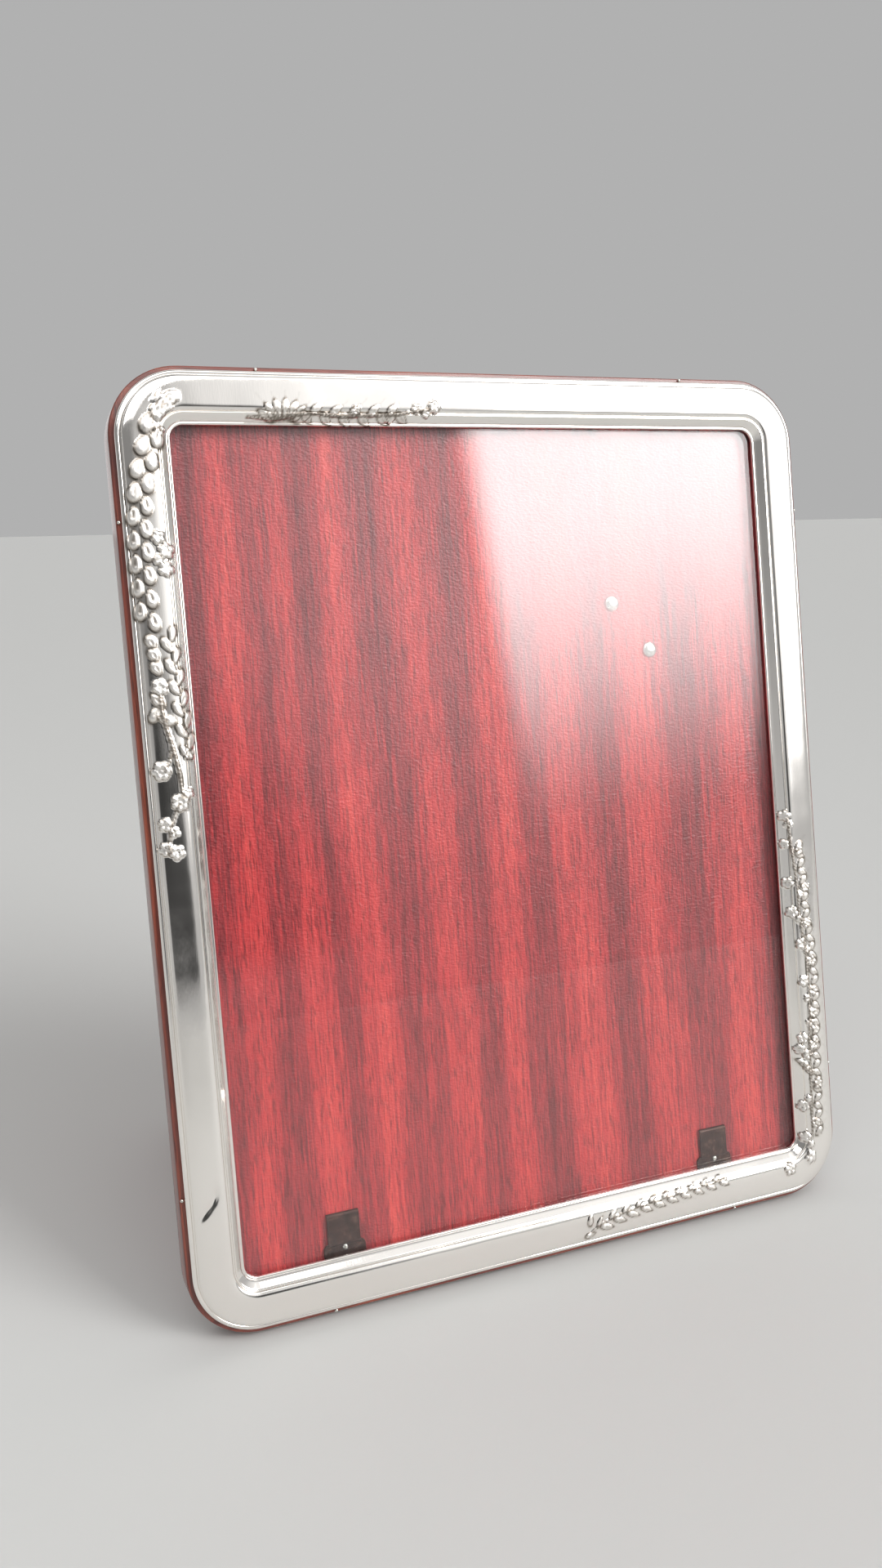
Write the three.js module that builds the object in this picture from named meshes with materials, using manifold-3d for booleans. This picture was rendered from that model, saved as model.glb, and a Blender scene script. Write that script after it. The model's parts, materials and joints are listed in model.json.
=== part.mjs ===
// A silver-fronted easel picture frame: a stamped silver moulding over a lacquered wood frame,
// a glass pane, and a tip-out mahogany back that carries a diagonal folding strut.
// Lengths are in millimetres and angles in degrees. Most pieces are drawn in the frame's own
// plane: x to the right, y up the frame and z towards the viewer, with z = 0 on the inner face
// of the back panel. The last lines lean the whole frame back onto its strut.

import * as THREE from 'three';
import { mergeVertices } from 'three/addons/utils/BufferGeometryUtils.js';
import Module from 'manifold-3d';

const wasm = await Module();
wasm.setup();

// Picture opening and the rings around it, measured outwards from the edge of the opening
const sightWidth = 192;
const sightHeight = 243;
const sightCornerRadius = 4;
const rebateWidth = 4.5;
const rebateCornerRadius = 3;
const borderWidth = 15.1;
const ledgeWidth = 1.5;

// Depths, front to back
const glassThickness = 1.8;
const printSpace = 1.8;
const panelThickness = 4.5;
const panelRecess = 1.5;

// Silver moulding: an inner bevel, a fine groove, a broad cushion and an outer bead
const sheetThickness = 0.5;
const sightEdgeHeight = 0.5;
const bevelWidth = 3;
const bevelRise = 2.5;
const grooveWidth = 0.55;
const grooveDepth = 0.5;
const cushionRise = 1.6;
const beadWidth = 1.75;
const beadLift = 0.7;

// Wood frame edges, thumb notch and brads
const ledgeEdgeRadius = 0.6;
const backEdgeRadius = 1.5;
const rebateChamfer = 0.5;
const thumbNotchRadius = 9;
const thumbNotchDepth = 3;
const bradHeadRadius = 0.5;
const bradHeadHeight = 0.45;
const bradShankRadius = 0.3;
const bradLength = 6;
const sideBradInset = 26.5;
const endBradInset = 26;

// Gaps: between pieces that sit on each other, round the glass and panel, and round shanks
const seatGap = 0.3;
const glazingGap = 0.8;
const panelGap = 0.4;
const shankGap = 0.15;

// Retaining tongues on the foot of the panel, and the slots that take them
const tongueEndInset = 35.5;
const tongueThickness = 0.6;
const tongueCurlRadius = 0.9;
const tongueStemWidth = 10;
const tongueFootWidth = 13;
const tongueTopInset = 16.1;
const tongueShoulderInset = 6.9;
const tongueReach = 4;
const tongueJoggle = 0.3;
const tongueRivetInset = 5.6;
const tongueRivetRadius = 0.5;
const tongueRivetHeadRadius = 0.85;
const tongueRivetHeadHeight = 0.35;
const slotGap = 0.5;
const panelTiltLimit = 25;

// Spring catch along the top edge of the panel
const springSpace = 2.3;
const springLength = 40;
const springSeatLength = 8;
const springStripWidth = 3;
const springStripThickness = 0.4;
const catchPinHeadRadius = 1.1;
const catchPinHeadHeight = 0.5;
const catchPinRadius = 0.5;
const catchPinLength = 9;

// Strut hinge: a bracket with two ears, riveted through the panel
const hingeCentreX = 47.65;
const hingeCentreY = 59.15;
const hingeTurn = -140.7;
const hingeRivetSpacing = 20;
const hingeRivetSetback = 10;
const hingeRivetRadius = 1.5;
const hingeRivetHeadRadius = 2.5;
const hingeRivetHeadHeight = 0.9;
const bracketThickness = 1;
const bracketMargin = 4.5;
const bracketFront = 2;
const earThickness = 1.2;
const earRadius = 3.6;
const earGap = 0.3;
const hingePinRadius = 1.2;
const hingePinHeadRadius = 2.2;
const hingePinHeadHeight = 0.9;

// Strut: a flared leg of lacquered wood in a folded steel shoe
const leanAngle = 12.2;
const strutOpenAngle = 29;
const strutThickness = 4;
const strutSkew = 12.3;
const strutTopWidth = 20;
const strutFootWidth = 34;
const shoeWidth = 25.6;
const shoeWall = 1;
const shoeLength = 18;
const shoeSocketStart = 4.8;
const shoeHeel = 7;
const shoeClearance = 2.1;
const strutRivetSpacing = 14;
const strutRivetStation = 12;
const strutRivetRadius = 1.2;
const strutRivetHeadRadius = 2.3;
const strutRivetHeadHeight = 0.8;

// Facets
const cornerSteps = 9;
const cushionSteps = 14;
const beadSteps = 6;
const edgeSteps = 3;
const roundSteps = 20;
const smallRoundSteps = 12;
const springSteps = 40;

// Heights that follow from the sizes above
const glassBack = printSpace;
const glassFront = glassBack + glassThickness;
const lipUnderside = glassFront + seatGap;
const ledgeHeight = lipUnderside;
const sightEdgeTop = lipUnderside + sightEdgeHeight;
const bevelTop = sightEdgeTop + bevelRise;
const grooveFloor = bevelTop - grooveDepth;
const panelBack = -panelThickness;
const frameBack = panelBack - panelRecess;
const rebateHalfWidth = sightWidth / 2 + rebateWidth;
const rebateHalfHeight = sightHeight / 2 + rebateWidth;
const panelBottom = -rebateHalfHeight + seatGap;
const panelTop = rebateHalfHeight - springSpace;
const bradOffset = borderWidth + ledgeWidth / 2;
const tongueX = rebateHalfWidth - tongueEndInset;

const silver = new THREE.MeshStandardMaterial({ color: 0xe6e2dc, roughness: 0.12, metalness: 1 });
const lacqueredWood = new THREE.MeshStandardMaterial({ color: 0x5e211a, roughness: 0.3, metalness: 0 });
const panelVeneer = new THREE.MeshStandardMaterial({ color: 0x8f2b2f, roughness: 0.35, metalness: 0 });
const clearGlass = new THREE.MeshStandardMaterial({
  color: 0xe8f0ee, roughness: 0.03, metalness: 0, transparent: true, opacity: 0.25,
});
const bronzedSteel = new THREE.MeshStandardMaterial({ color: 0x4a3a32, roughness: 0.45, metalness: 0.9 });
const brightSteel = new THREE.MeshStandardMaterial({ color: 0xd9d8d4, roughness: 0.2, metalness: 1 });
const hingeBrass = new THREE.MeshStandardMaterial({ color: 0xb08d4a, roughness: 0.35, metalness: 1 });

function radians(degrees) {
  return THREE.MathUtils.degToRad(degrees);
}

function namedMesh(name, geometry, material) {
  const mesh = new THREE.Mesh(geometry, material);
  mesh.name = name;
  return mesh;
}

// Solid from a closed mesh, with the vertices that its faces share merged into one
function solidOf(geometry) {
  const bare = geometry.clone();
  bare.deleteAttribute('normal');
  bare.deleteAttribute('uv');
  const merged = mergeVertices(bare, 1e-5);
  return new wasm.Manifold(new wasm.Mesh({
    numProp: 3,
    vertProperties: new Float32Array(merged.attributes.position.array),
    triVerts: new Uint32Array(merged.index.array),
  }));
}

function geometryOf(solid) {
  const mesh = solid.getMesh();
  const geometry = new THREE.BufferGeometry();
  geometry.setAttribute('position', new THREE.BufferAttribute(mesh.vertProperties, 3));
  geometry.setIndex(new THREE.BufferAttribute(mesh.triVerts, 1));
  geometry.computeVertexNormals();
  return geometry;
}

function joined(...geometries) {
  return geometryOf(geometries.map(solidOf).reduce((whole, piece) => whole.add(piece)));
}

function cutFrom(geometry, ...tools) {
  return geometryOf(tools.map(solidOf).reduce((whole, tool) => whole.subtract(tool), solidOf(geometry)));
}

function commonTo(geometry, ...tools) {
  return geometryOf(tools.map(solidOf).reduce((whole, tool) => whole.intersect(tool), solidOf(geometry)));
}

function box(left, right, bottom, top, back, front) {
  const geometry = new THREE.BoxGeometry(right - left, top - bottom, front - back);
  return geometry.translate((left + right) / 2, (bottom + top) / 2, (back + front) / 2);
}

// Upright round bar along z
function roundBar(x, y, radius, back, front, steps = smallRoundSteps) {
  const geometry = new THREE.CylinderGeometry(radius, radius, front - back, steps);
  return geometry.rotateX(Math.PI / 2).translate(x, y, (back + front) / 2);
}

function roundHole(x, y, radius) {
  return new THREE.Path().absarc(x, y, radius, 0, 2 * Math.PI, true);
}

function extruded(shape, back, front, curveSegments = cornerSteps) {
  const depth = front - back;
  const geometry = new THREE.ExtrudeGeometry(shape, { depth, bevelEnabled: false, curveSegments });
  return geometry.translate(0, 0, back);
}

// Rectangle with round corners, as a shape for a flat sheet
function sheetShape(left, right, bottom, top, radius) {
  const shape = new THREE.Shape();
  shape.absarc(right - radius, top - radius, radius, 0, Math.PI / 2);
  shape.absarc(left + radius, top - radius, radius, Math.PI / 2, Math.PI);
  shape.absarc(left + radius, bottom + radius, radius, Math.PI, 1.5 * Math.PI);
  shape.absarc(right - radius, bottom + radius, radius, 1.5 * Math.PI, 2 * Math.PI);
  return shape;
}

// Domed head, shank and rear head of a rivet in one turned profile along z, front head first
function rivet(headRadius, headHeight, shankRadius, frontSeat, backSeat, rearHeadRadius, rearHeadHeight) {
  const dome = new THREE.EllipseCurve(0, frontSeat, headRadius, headHeight, 0, Math.PI / 2).getPoints(4);
  const rearDome = new THREE.EllipseCurve(
    0, backSeat, rearHeadRadius, rearHeadHeight, 1.5 * Math.PI, 2 * Math.PI,
  ).getPoints(4);
  const profile = [
    ...rearDome,
    new THREE.Vector2(shankRadius, backSeat),
    new THREE.Vector2(shankRadius, frontSeat),
    ...dome,
  ];
  profile[0].x = 0;
  profile[profile.length - 1].x = 0;
  return new THREE.LatheGeometry(profile, smallRoundSteps).rotateX(Math.PI / 2);
}

// One point of a rail's section: how far out it lies from the sight edge, its height, and the
// radius that its ring turns the frame's corners with
function sectionPoint(out, height, corner = sightCornerRadius + out) {
  return { out, height, corner };
}

// Loop of points that one section point makes on its way round the frame, anticlockwise
function cornerLoop({ out, height, corner }) {
  const loop = [];
  const reachX = sightWidth / 2 + out - corner;
  const reachY = sightHeight / 2 + out - corner;
  for (const [quarter, signX, signY] of [[0, 1, 1], [1, -1, 1], [2, -1, -1], [3, 1, -1]]) {
    for (let step = 0; step <= cornerSteps; step++) {
      const angle = (quarter + step / cornerSteps) * Math.PI / 2;
      loop.push([
        signX * reachX + corner * Math.cos(angle),
        signY * reachY + corner * Math.sin(angle),
        height,
      ]);
    }
  }
  return loop;
}

// Ring that carries a closed rail section round the four sides; the section runs anticlockwise
function ringOf(section) {
  const loops = section.map(cornerLoop);
  const around = loops[0].length;
  const index = [];
  for (let i = 0; i < loops.length; i++) {
    for (let j = 0; j < around; j++) {
      const here = i * around + j;
      const ahead = i * around + (j + 1) % around;
      const next = (i + 1) % loops.length * around;
      index.push(here, ahead, next + (j + 1) % around, here, next + (j + 1) % around, next + j);
    }
  }
  const geometry = new THREE.BufferGeometry();
  geometry.setAttribute('position', new THREE.Float32BufferAttribute(loops.flat(2), 3));
  geometry.setIndex(index);
  geometry.computeVertexNormals();
  return geometry;
}

// Bevel, groove and cushion of the moulding from the sight edge outwards, sunk by the inset: with
// no inset it is the silver's face, with the sheet's thickness its back, and a little deeper
// the wood that fills it. The cushion is half of a flat ellipse.
function bevelAndCushion(inset) {
  const slope = Math.atan2(bevelRise, bevelWidth);
  const sink = inset / Math.cos(slope);
  const lift = inset * Math.tan(slope);
  const bevelEnd = bevelTop - lift - sink;
  const floor = Math.min(grooveFloor - inset, bevelEnd);
  const cushionStart = bevelWidth + grooveWidth;
  const halfWidth = (borderWidth - beadWidth - cushionStart) / 2;
  const cushion = new THREE.EllipseCurve(
    cushionStart + halfWidth, grooveFloor, halfWidth - inset, cushionRise - inset, Math.PI, 0, true,
  );
  const line = [
    [inset, lipUnderside],
    [inset, sightEdgeTop + lift - sink],
    [bevelWidth - inset, bevelEnd],
  ];
  if (floor < bevelEnd) {
    line.push([bevelWidth - inset, floor]);
  }
  if (inset > 0) {
    line.push([cushionStart + inset, floor]);
  }
  line.push(...cushion.getPoints(cushionSteps).map(({ x, y }) => [x, y]));
  return line;
}

// Half-round bead outside the cushion, and the silver's edge down to the ledge
function outerBead(inset) {
  const radius = beadWidth / 2;
  const centreOut = borderWidth - radius;
  const rimHeight = ledgeHeight + seatGap;
  const bead = new THREE.EllipseCurve(
    centreOut, rimHeight + beadLift, radius - inset, radius - inset, Math.PI, 0, true,
  );
  const line = [];
  if (inset > 0) {
    line.push([borderWidth - beadWidth - inset, rimHeight + beadLift - inset]);
    line.push([borderWidth - beadWidth + inset, rimHeight + beadLift - inset]);
  }
  line.push(...bead.getPoints(beadSteps).map(({ x, y }) => [x, y]));
  line.push([borderWidth - inset, rimHeight]);
  return line;
}

function silverFront() {
  const face = [...bevelAndCushion(0), ...outerBead(0)];
  const back = [...bevelAndCushion(sheetThickness), ...outerBead(sheetThickness)];
  return ringOf([...back, ...face.reverse()].map(([out, height]) => sectionPoint(out, height)));
}

// Section of the wood rail: back face, rounded side, ledge, core under the silver, lip, rebate
function woodSection() {
  const side = borderWidth + ledgeWidth;
  const backEdge = new THREE.EllipseCurve(
    side - backEdgeRadius, frameBack + backEdgeRadius, backEdgeRadius, backEdgeRadius,
    -Math.PI / 2, 0,
  ).getPoints(edgeSteps);
  const ledgeEdge = new THREE.EllipseCurve(
    side - ledgeEdgeRadius, ledgeHeight - ledgeEdgeRadius, ledgeEdgeRadius, ledgeEdgeRadius,
    0, Math.PI / 2,
  ).getPoints(edgeSteps);
  const core = bevelAndCushion(sheetThickness + seatGap).reverse();
  const coreSide = core[0][0];
  return [
    sectionPoint(rebateWidth + rebateChamfer, frameBack, rebateCornerRadius + rebateChamfer),
    ...[...backEdge, ...ledgeEdge].map(({ x, y }) => sectionPoint(x, y)),
    sectionPoint(coreSide, ledgeHeight),
    ...core.map(([out, height]) => sectionPoint(out, height)),
    sectionPoint(rebateWidth, lipUnderside, rebateCornerRadius),
    sectionPoint(rebateWidth, frameBack + rebateChamfer, rebateCornerRadius),
  ];
}

// Places of the brads on the ledge, two on each side
function bradPlaces() {
  const sideX = sightWidth / 2 + bradOffset;
  const endY = sightHeight / 2 + bradOffset;
  const places = [];
  for (const sign of [-1, 1]) {
    for (const end of [-1, 1]) {
      places.push([sign * sideX, end * (sightHeight / 2 - sideBradInset)]);
      places.push([end * (sightWidth / 2 - endBradInset), sign * endY]);
    }
  }
  return places;
}

// Slot in the lower rebate wall, deep and high enough for a tongue as the panel tips out
function tongueSlot(side) {
  const centre = side * tongueX;
  const halfWidth = tongueFootWidth / 2 + slotGap;
  const tilt = radians(panelTiltLimit);
  const tongueFront = panelThickness + seatGap + tongueThickness;
  const highest = panelBack + tongueReach * Math.sin(tilt) + tongueFront * Math.cos(tilt);
  return box(
    centre - halfWidth, centre + halfWidth,
    panelBottom - tongueReach - slotGap, -rebateHalfHeight + 1,
    0, highest + slotGap,
  );
}

function woodFrame() {
  const bradHoles = bradPlaces().map(([x, y]) => roundBar(
    x, y, bradShankRadius + shankGap, ledgeHeight - bradLength - seatGap, ledgeHeight + 1,
  ));
  const thumbNotch = roundBar(
    0, rebateHalfHeight, thumbNotchRadius, frameBack - 1, frameBack + thumbNotchDepth, roundSteps,
  );
  return cutFrom(ringOf(woodSection()), tongueSlot(-1), tongueSlot(1), thumbNotch, ...bradHoles);
}

// Brad with its domed head standing on the ledge
function brad([x, y]) {
  const seat = ledgeHeight + seatGap;
  const dome = new THREE.EllipseCurve(0, seat, bradHeadRadius, bradHeadHeight, 0, Math.PI / 2).getPoints(3);
  const profile = [
    new THREE.Vector2(0, ledgeHeight - bradLength),
    new THREE.Vector2(bradShankRadius, ledgeHeight - bradLength + 1),
    new THREE.Vector2(bradShankRadius, seat),
    ...dome,
  ];
  profile[profile.length - 1].x = 0;
  return new THREE.LatheGeometry(profile, smallRoundSteps).rotateX(Math.PI / 2).translate(x, y, 0);
}

function glassPane() {
  const halfWidth = rebateHalfWidth - glazingGap;
  const halfHeight = rebateHalfHeight - glazingGap;
  const radius = rebateCornerRadius;
  return extruded(sheetShape(-halfWidth, halfWidth, -halfHeight, halfHeight, radius), glassBack, glassFront, 4);
}

// Places of the two hinge rivets, along the line that the hinge axis runs parallel to
function hingeRivetPlaces() {
  const turn = radians(hingeTurn);
  return [-1, 1].map((side) => [
    hingeCentreX - side * Math.sin(turn) * hingeRivetSpacing / 2,
    hingeCentreY + side * Math.cos(turn) * hingeRivetSpacing / 2,
  ]);
}

function backPanel() {
  const halfWidth = rebateHalfWidth - panelGap;
  const shape = sheetShape(-halfWidth, halfWidth, panelBottom, panelTop, rebateCornerRadius);
  for (const [x, y] of hingeRivetPlaces()) {
    shape.holes.push(roundHole(x, y, hingeRivetRadius + shankGap));
  }
  for (const side of [-1, 1]) {
    const y = panelBottom + tongueRivetInset;
    shape.holes.push(roundHole(side * tongueX, y, tongueRivetRadius + shankGap));
  }
  const pinHole = new THREE.CylinderGeometry(
    catchPinRadius + shankGap, catchPinRadius + shankGap, 2 * catchPinLength, smallRoundSteps,
  ).translate(0, panelTop, panelBack / 2);
  return cutFrom(extruded(shape, panelBack, 0, 4), pinHole);
}

// Stamped tongue: a wide foot that runs down into the slot between two round-shouldered lugs, and
// a narrower stem that is joggled forward and curls back to the panel at its top
function retainingTongue(side) {
  const shoulder = panelBottom + tongueShoulderInset;
  const top = panelBottom + tongueTopInset;
  const toe = panelBottom - tongueReach;
  const halfFoot = tongueFootWidth / 2;
  const lugRadius = (tongueFootWidth - tongueStemWidth) / 2;
  const footShape = new THREE.Shape();
  footShape.moveTo(-halfFoot + lugRadius, toe);
  footShape.lineTo(halfFoot - lugRadius, toe);
  footShape.lineTo(halfFoot, toe + lugRadius);
  footShape.absarc(halfFoot - lugRadius, shoulder - lugRadius, lugRadius, 0, Math.PI / 2);
  footShape.absarc(-halfFoot + lugRadius, shoulder - lugRadius, lugRadius, Math.PI / 2, Math.PI);
  footShape.lineTo(-halfFoot, toe + lugRadius);
  const foot = extruded(footShape, seatGap, seatGap + tongueThickness, 4);
  const back = seatGap + tongueJoggle;
  const front = back + tongueThickness;
  const curl = top - tongueCurlRadius;
  const bend = shoulder - tongueJoggle;
  const profile = new THREE.Shape();
  profile.moveTo(bend - tongueJoggle, seatGap);
  profile.lineTo(bend, back);
  profile.lineTo(curl, back);
  profile.lineTo(curl, front - tongueCurlRadius);
  profile.absarc(curl, front - tongueCurlRadius, tongueCurlRadius, 0, Math.PI / 2);
  profile.lineTo(bend, front);
  profile.lineTo(bend - tongueJoggle, seatGap + tongueThickness);
  const stem = extruded(profile, -tongueStemWidth / 2, tongueStemWidth / 2, 4)
    .rotateX(Math.PI / 2).rotateZ(Math.PI / 2);
  const hole = roundBar(
    0, panelBottom + tongueRivetInset, tongueRivetRadius + shankGap, -1, printSpace,
  );
  return cutFrom(joined(foot, stem), hole).translate(side * tongueX, 0, 0);
}

function tongueRivet(side) {
  return rivet(
    tongueRivetHeadRadius, tongueRivetHeadHeight, tongueRivetRadius,
    2 * seatGap + tongueThickness, panelBack - seatGap,
    tongueRivetHeadRadius, tongueRivetHeadHeight,
  ).translate(side * tongueX, panelBottom + tongueRivetInset, 0);
}

// Bowed strip whose flat middle sits on the panel's top edge and whose crowns press on the frame
function catchSpring() {
  const seat = panelTop + seatGap + springStripThickness / 2;
  const crown = rebateHalfHeight - seatGap - springStripThickness / 2;
  const upper = [];
  const lower = [];
  for (let step = 0; step <= springSteps; step++) {
    const x = (step / springSteps - 0.5) * springLength;
    const along = Math.max(0, (Math.abs(x) - springSeatLength / 2) / ((springLength - springSeatLength) / 2));
    const y = seat + (crown - seat) * Math.sin(0.8 * Math.PI * along) ** 2;
    upper.push(new THREE.Vector2(x, y + springStripThickness / 2));
    lower.unshift(new THREE.Vector2(x, y - springStripThickness / 2));
  }
  const shape = new THREE.Shape([...upper, ...lower]);
  const middle = panelBack / 2;
  const strip = extruded(shape, middle - springStripWidth / 2, middle + springStripWidth / 2);
  const hole = new THREE.CylinderGeometry(
    catchPinRadius + shankGap, catchPinRadius + shankGap, 4 * springStripThickness, smallRoundSteps,
  ).translate(0, seat, middle);
  return cutFrom(strip, hole);
}

function catchPin() {
  const seat = panelTop + 2 * seatGap + springStripThickness;
  const profile = [
    [0, panelTop - catchPinLength + seatGap], [catchPinRadius, panelTop - catchPinLength + 1 + seatGap],
    [catchPinRadius, seat], [catchPinHeadRadius, seat],
    [0.8 * catchPinHeadRadius, seat + catchPinHeadHeight], [0, seat + catchPinHeadHeight],
  ].map(([x, y]) => new THREE.Vector2(x, y));
  return new THREE.LatheGeometry(profile, smallRoundSteps).translate(0, 0, panelBack / 2);
}

// The hinge pieces below are drawn about the hinge pin: x along the folded strut, y along the
// pin and z towards the panel
const shoeHalfThickness = strutThickness / 2 + seatGap + shoeWall;
const bracketFace = shoeHalfThickness + shoeClearance;
const pinDrop = bracketFace + bracketThickness + seatGap;
const earInner = shoeWidth / 2 + earGap;
const earOuter = earInner + earThickness;

function hingeBracket() {
  const plateShape = new THREE.Shape();
  const rear = -hingeRivetSetback - bracketMargin;
  plateShape.moveTo(bracketFront, -earOuter);
  plateShape.lineTo(bracketFront, earOuter);
  plateShape.lineTo(rear + bracketMargin, earOuter);
  plateShape.absarc(rear + bracketMargin, earOuter - bracketMargin, bracketMargin, Math.PI / 2, Math.PI);
  plateShape.absarc(rear + bracketMargin, -earOuter + bracketMargin, bracketMargin, Math.PI, 1.5 * Math.PI);
  for (const side of [-1, 1]) {
    plateShape.holes.push(roundHole(
      -hingeRivetSetback, side * hingeRivetSpacing / 2, hingeRivetRadius + shankGap,
    ));
  }
  const plate = extruded(plateShape, bracketFace, bracketFace + bracketThickness, 5);
  const earShape = new THREE.Shape();
  earShape.moveTo(earRadius, bracketFace + bracketThickness / 2);
  earShape.lineTo(-earRadius, bracketFace + bracketThickness / 2);
  earShape.absarc(0, 0, earRadius, Math.PI, 2 * Math.PI);
  earShape.holes.push(roundHole(0, 0, hingePinRadius + shankGap));
  const ears = [-earOuter, earInner].map((y) => extruded(earShape, 0, earThickness)
    .rotateX(Math.PI / 2).translate(0, y + earThickness, 0));
  return joined(plate, ...ears);
}

function hingePin() {
  const seat = earOuter + seatGap;
  const profile = [
    [0, -seat - hingePinHeadHeight], [0.8 * hingePinHeadRadius, -seat - hingePinHeadHeight],
    [hingePinHeadRadius, -seat], [hingePinRadius, -seat],
    [hingePinRadius, seat], [hingePinHeadRadius, seat],
    [0.8 * hingePinHeadRadius, seat + hingePinHeadHeight], [0, seat + hingePinHeadHeight],
  ].map(([x, y]) => new THREE.Vector2(x, y));
  return new THREE.LatheGeometry(profile, roundSteps);
}

// Rivet through the panel and the bracket, with its broad polished head on the inner face
function hingeRivet(side) {
  return rivet(
    hingeRivetHeadRadius, hingeRivetHeadHeight, hingeRivetRadius,
    pinDrop + panelThickness + seatGap, bracketFace - seatGap,
    hingeRivetHeadRadius, hingeRivetHeadHeight,
  ).translate(-hingeRivetSetback, side * hingeRivetSpacing / 2, 0);
}

// Steel shoe on the top of the strut. Its heel is cut back at the opening angle, so that it
// comes to rest flat on the bracket and stops the strut
function strutShoe() {
  const open = radians(strutOpenAngle);
  const stop = bracketFace - seatGap;
  const bevelStart = (shoeHalfThickness * Math.cos(open) - stop) / Math.sin(open);
  const bevelEnd = (stop - shoeHeel * Math.sin(open)) / Math.cos(open);
  const socketHalf = strutThickness / 2 + seatGap;
  const shape = new THREE.Shape([
    [shoeLength, shoeHalfThickness], [bevelStart, shoeHalfThickness],
    [-shoeHeel, bevelEnd], [-shoeHeel, -shoeHalfThickness + shoeWall],
    [-shoeHeel + shoeWall, -shoeHalfThickness], [shoeLength, -shoeHalfThickness],
    [shoeLength, -socketHalf], [shoeSocketStart, -socketHalf],
    [shoeSocketStart, socketHalf], [shoeLength, socketHalf],
  ].map(([x, z]) => new THREE.Vector2(x, z)));
  shape.holes.push(roundHole(0, 0, hingePinRadius + shankGap));
  const blank = extruded(shape, -shoeWidth / 2, shoeWidth / 2, 5).rotateX(Math.PI / 2);
  const holes = [-1, 1].map((side) => roundBar(
    strutRivetStation, side * strutRivetSpacing / 2, strutRivetRadius + shankGap,
    -2 * shoeHalfThickness, 2 * shoeHalfThickness,
  ));
  return cutFrom(blank, ...holes);
}

function strutRivet(side) {
  const seat = shoeHalfThickness + seatGap;
  return rivet(
    strutRivetHeadRadius, strutRivetHeadHeight, strutRivetRadius, seat, -seat,
    strutRivetHeadRadius, strutRivetHeadHeight,
  ).translate(strutRivetStation, side * strutRivetSpacing / 2, 0);
}

// Where the hinge pin lies on the frame, and how the open strut is turned
const hingeDirection = new THREE.Vector3(Math.cos(radians(hingeTurn)), Math.sin(radians(hingeTurn)), 0);
const pinPlace = new THREE.Vector3(hingeCentreX, hingeCentreY, panelBack - pinDrop)
  .addScaledVector(hingeDirection, hingeRivetSetback);
const openStrut = new THREE.Matrix4().makeRotationZ(radians(hingeTurn)).setPosition(pinPlace)
  .multiply(new THREE.Matrix4().makeRotationY(radians(strutOpenAngle)));

// Plane through the lowest line of one side of the frame and square to the table's normal
function tablePlane(normal, halfSpan) {
  const depths = woodSection().map(({ out, height }) => {
    const down = halfSpan + out;
    return normal.z * height - Math.hypot(normal.x, normal.y) * down;
  });
  return new THREE.Plane(normal, -Math.min(...depths));
}

const tableNormal = new THREE.Vector3(0, Math.cos(radians(leanAngle)), Math.sin(radians(leanAngle)));
const uprightTable = tablePlane(tableNormal, sightHeight / 2);
const strutAlong = new THREE.Vector3(Math.cos(radians(strutSkew)), Math.sin(radians(strutSkew)), 0);
const strutDirection = strutAlong.clone().transformDirection(openStrut);
const strutLength = -uprightTable.distanceToPoint(pinPlace) / strutDirection.dot(tableNormal);
const footTip = pinPlace.clone().addScaledVector(strutDirection, strutLength);

// Plane of the table when the frame lies on its long side, through the same tip of the strut
function sidewaysTable() {
  const edgeX = -(sightWidth / 2 + borderWidth + ledgeWidth);
  const edgeZ = frameBack + backEdgeRadius;
  const normal = new THREE.Vector3(edgeZ - footTip.z, 0, footTip.x - edgeX).normalize();
  return new THREE.Plane(normal).translate(footTip);
}

// Block that fills the kept side of a plane
function halfSpace(plane) {
  const size = 4 * sightHeight;
  const turn = new THREE.Quaternion().setFromUnitVectors(new THREE.Vector3(0, 0, 1), plane.normal);
  const place = plane.coplanarPoint(new THREE.Vector3());
  return new THREE.BoxGeometry(size, size, size).translate(0, 0, size / 2)
    .applyQuaternion(turn).translate(place.x, place.y, place.z);
}

// Flared leg along the frame's diagonal, which lies a little askew to the hinge; its tip is cut
// to stand flat with the frame upright and with it on its side
function strut() {
  const end = new THREE.Vector2(strutAlong.x, strutAlong.y).multiplyScalar(strutLength + strutFootWidth);
  const halfFoot = new THREE.Vector2(-strutAlong.y, strutAlong.x).multiplyScalar(strutFootWidth / 2);
  const shape = new THREE.Shape([
    new THREE.Vector2(shoeSocketStart + seatGap, -strutTopWidth / 2),
    end.clone().sub(halfFoot),
    end.clone().add(halfFoot),
    new THREE.Vector2(shoeSocketStart + seatGap, strutTopWidth / 2),
  ]);
  for (const side of [-1, 1]) {
    shape.holes.push(roundHole(
      strutRivetStation, side * strutRivetSpacing / 2, strutRivetRadius + shankGap,
    ));
  }
  const blank = extruded(shape, -strutThickness / 2, strutThickness / 2, 6);
  const intoStrut = openStrut.clone().invert();
  const feet = [uprightTable, sidewaysTable()].map((plane) => halfSpace(plane.clone().applyMatrix4(intoStrut)));
  return commonTo(blank, ...feet);
}

const strutGroup = new THREE.Group();
strutGroup.rotation.y = radians(strutOpenAngle);
strutGroup.add(namedMesh('strut', strut(), lacqueredWood));
strutGroup.add(namedMesh('strut_shoe', strutShoe(), hingeBrass));
strutGroup.add(namedMesh('strut_rivet_left', strutRivet(-1), brightSteel));
strutGroup.add(namedMesh('strut_rivet_right', strutRivet(1), brightSteel));

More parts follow.
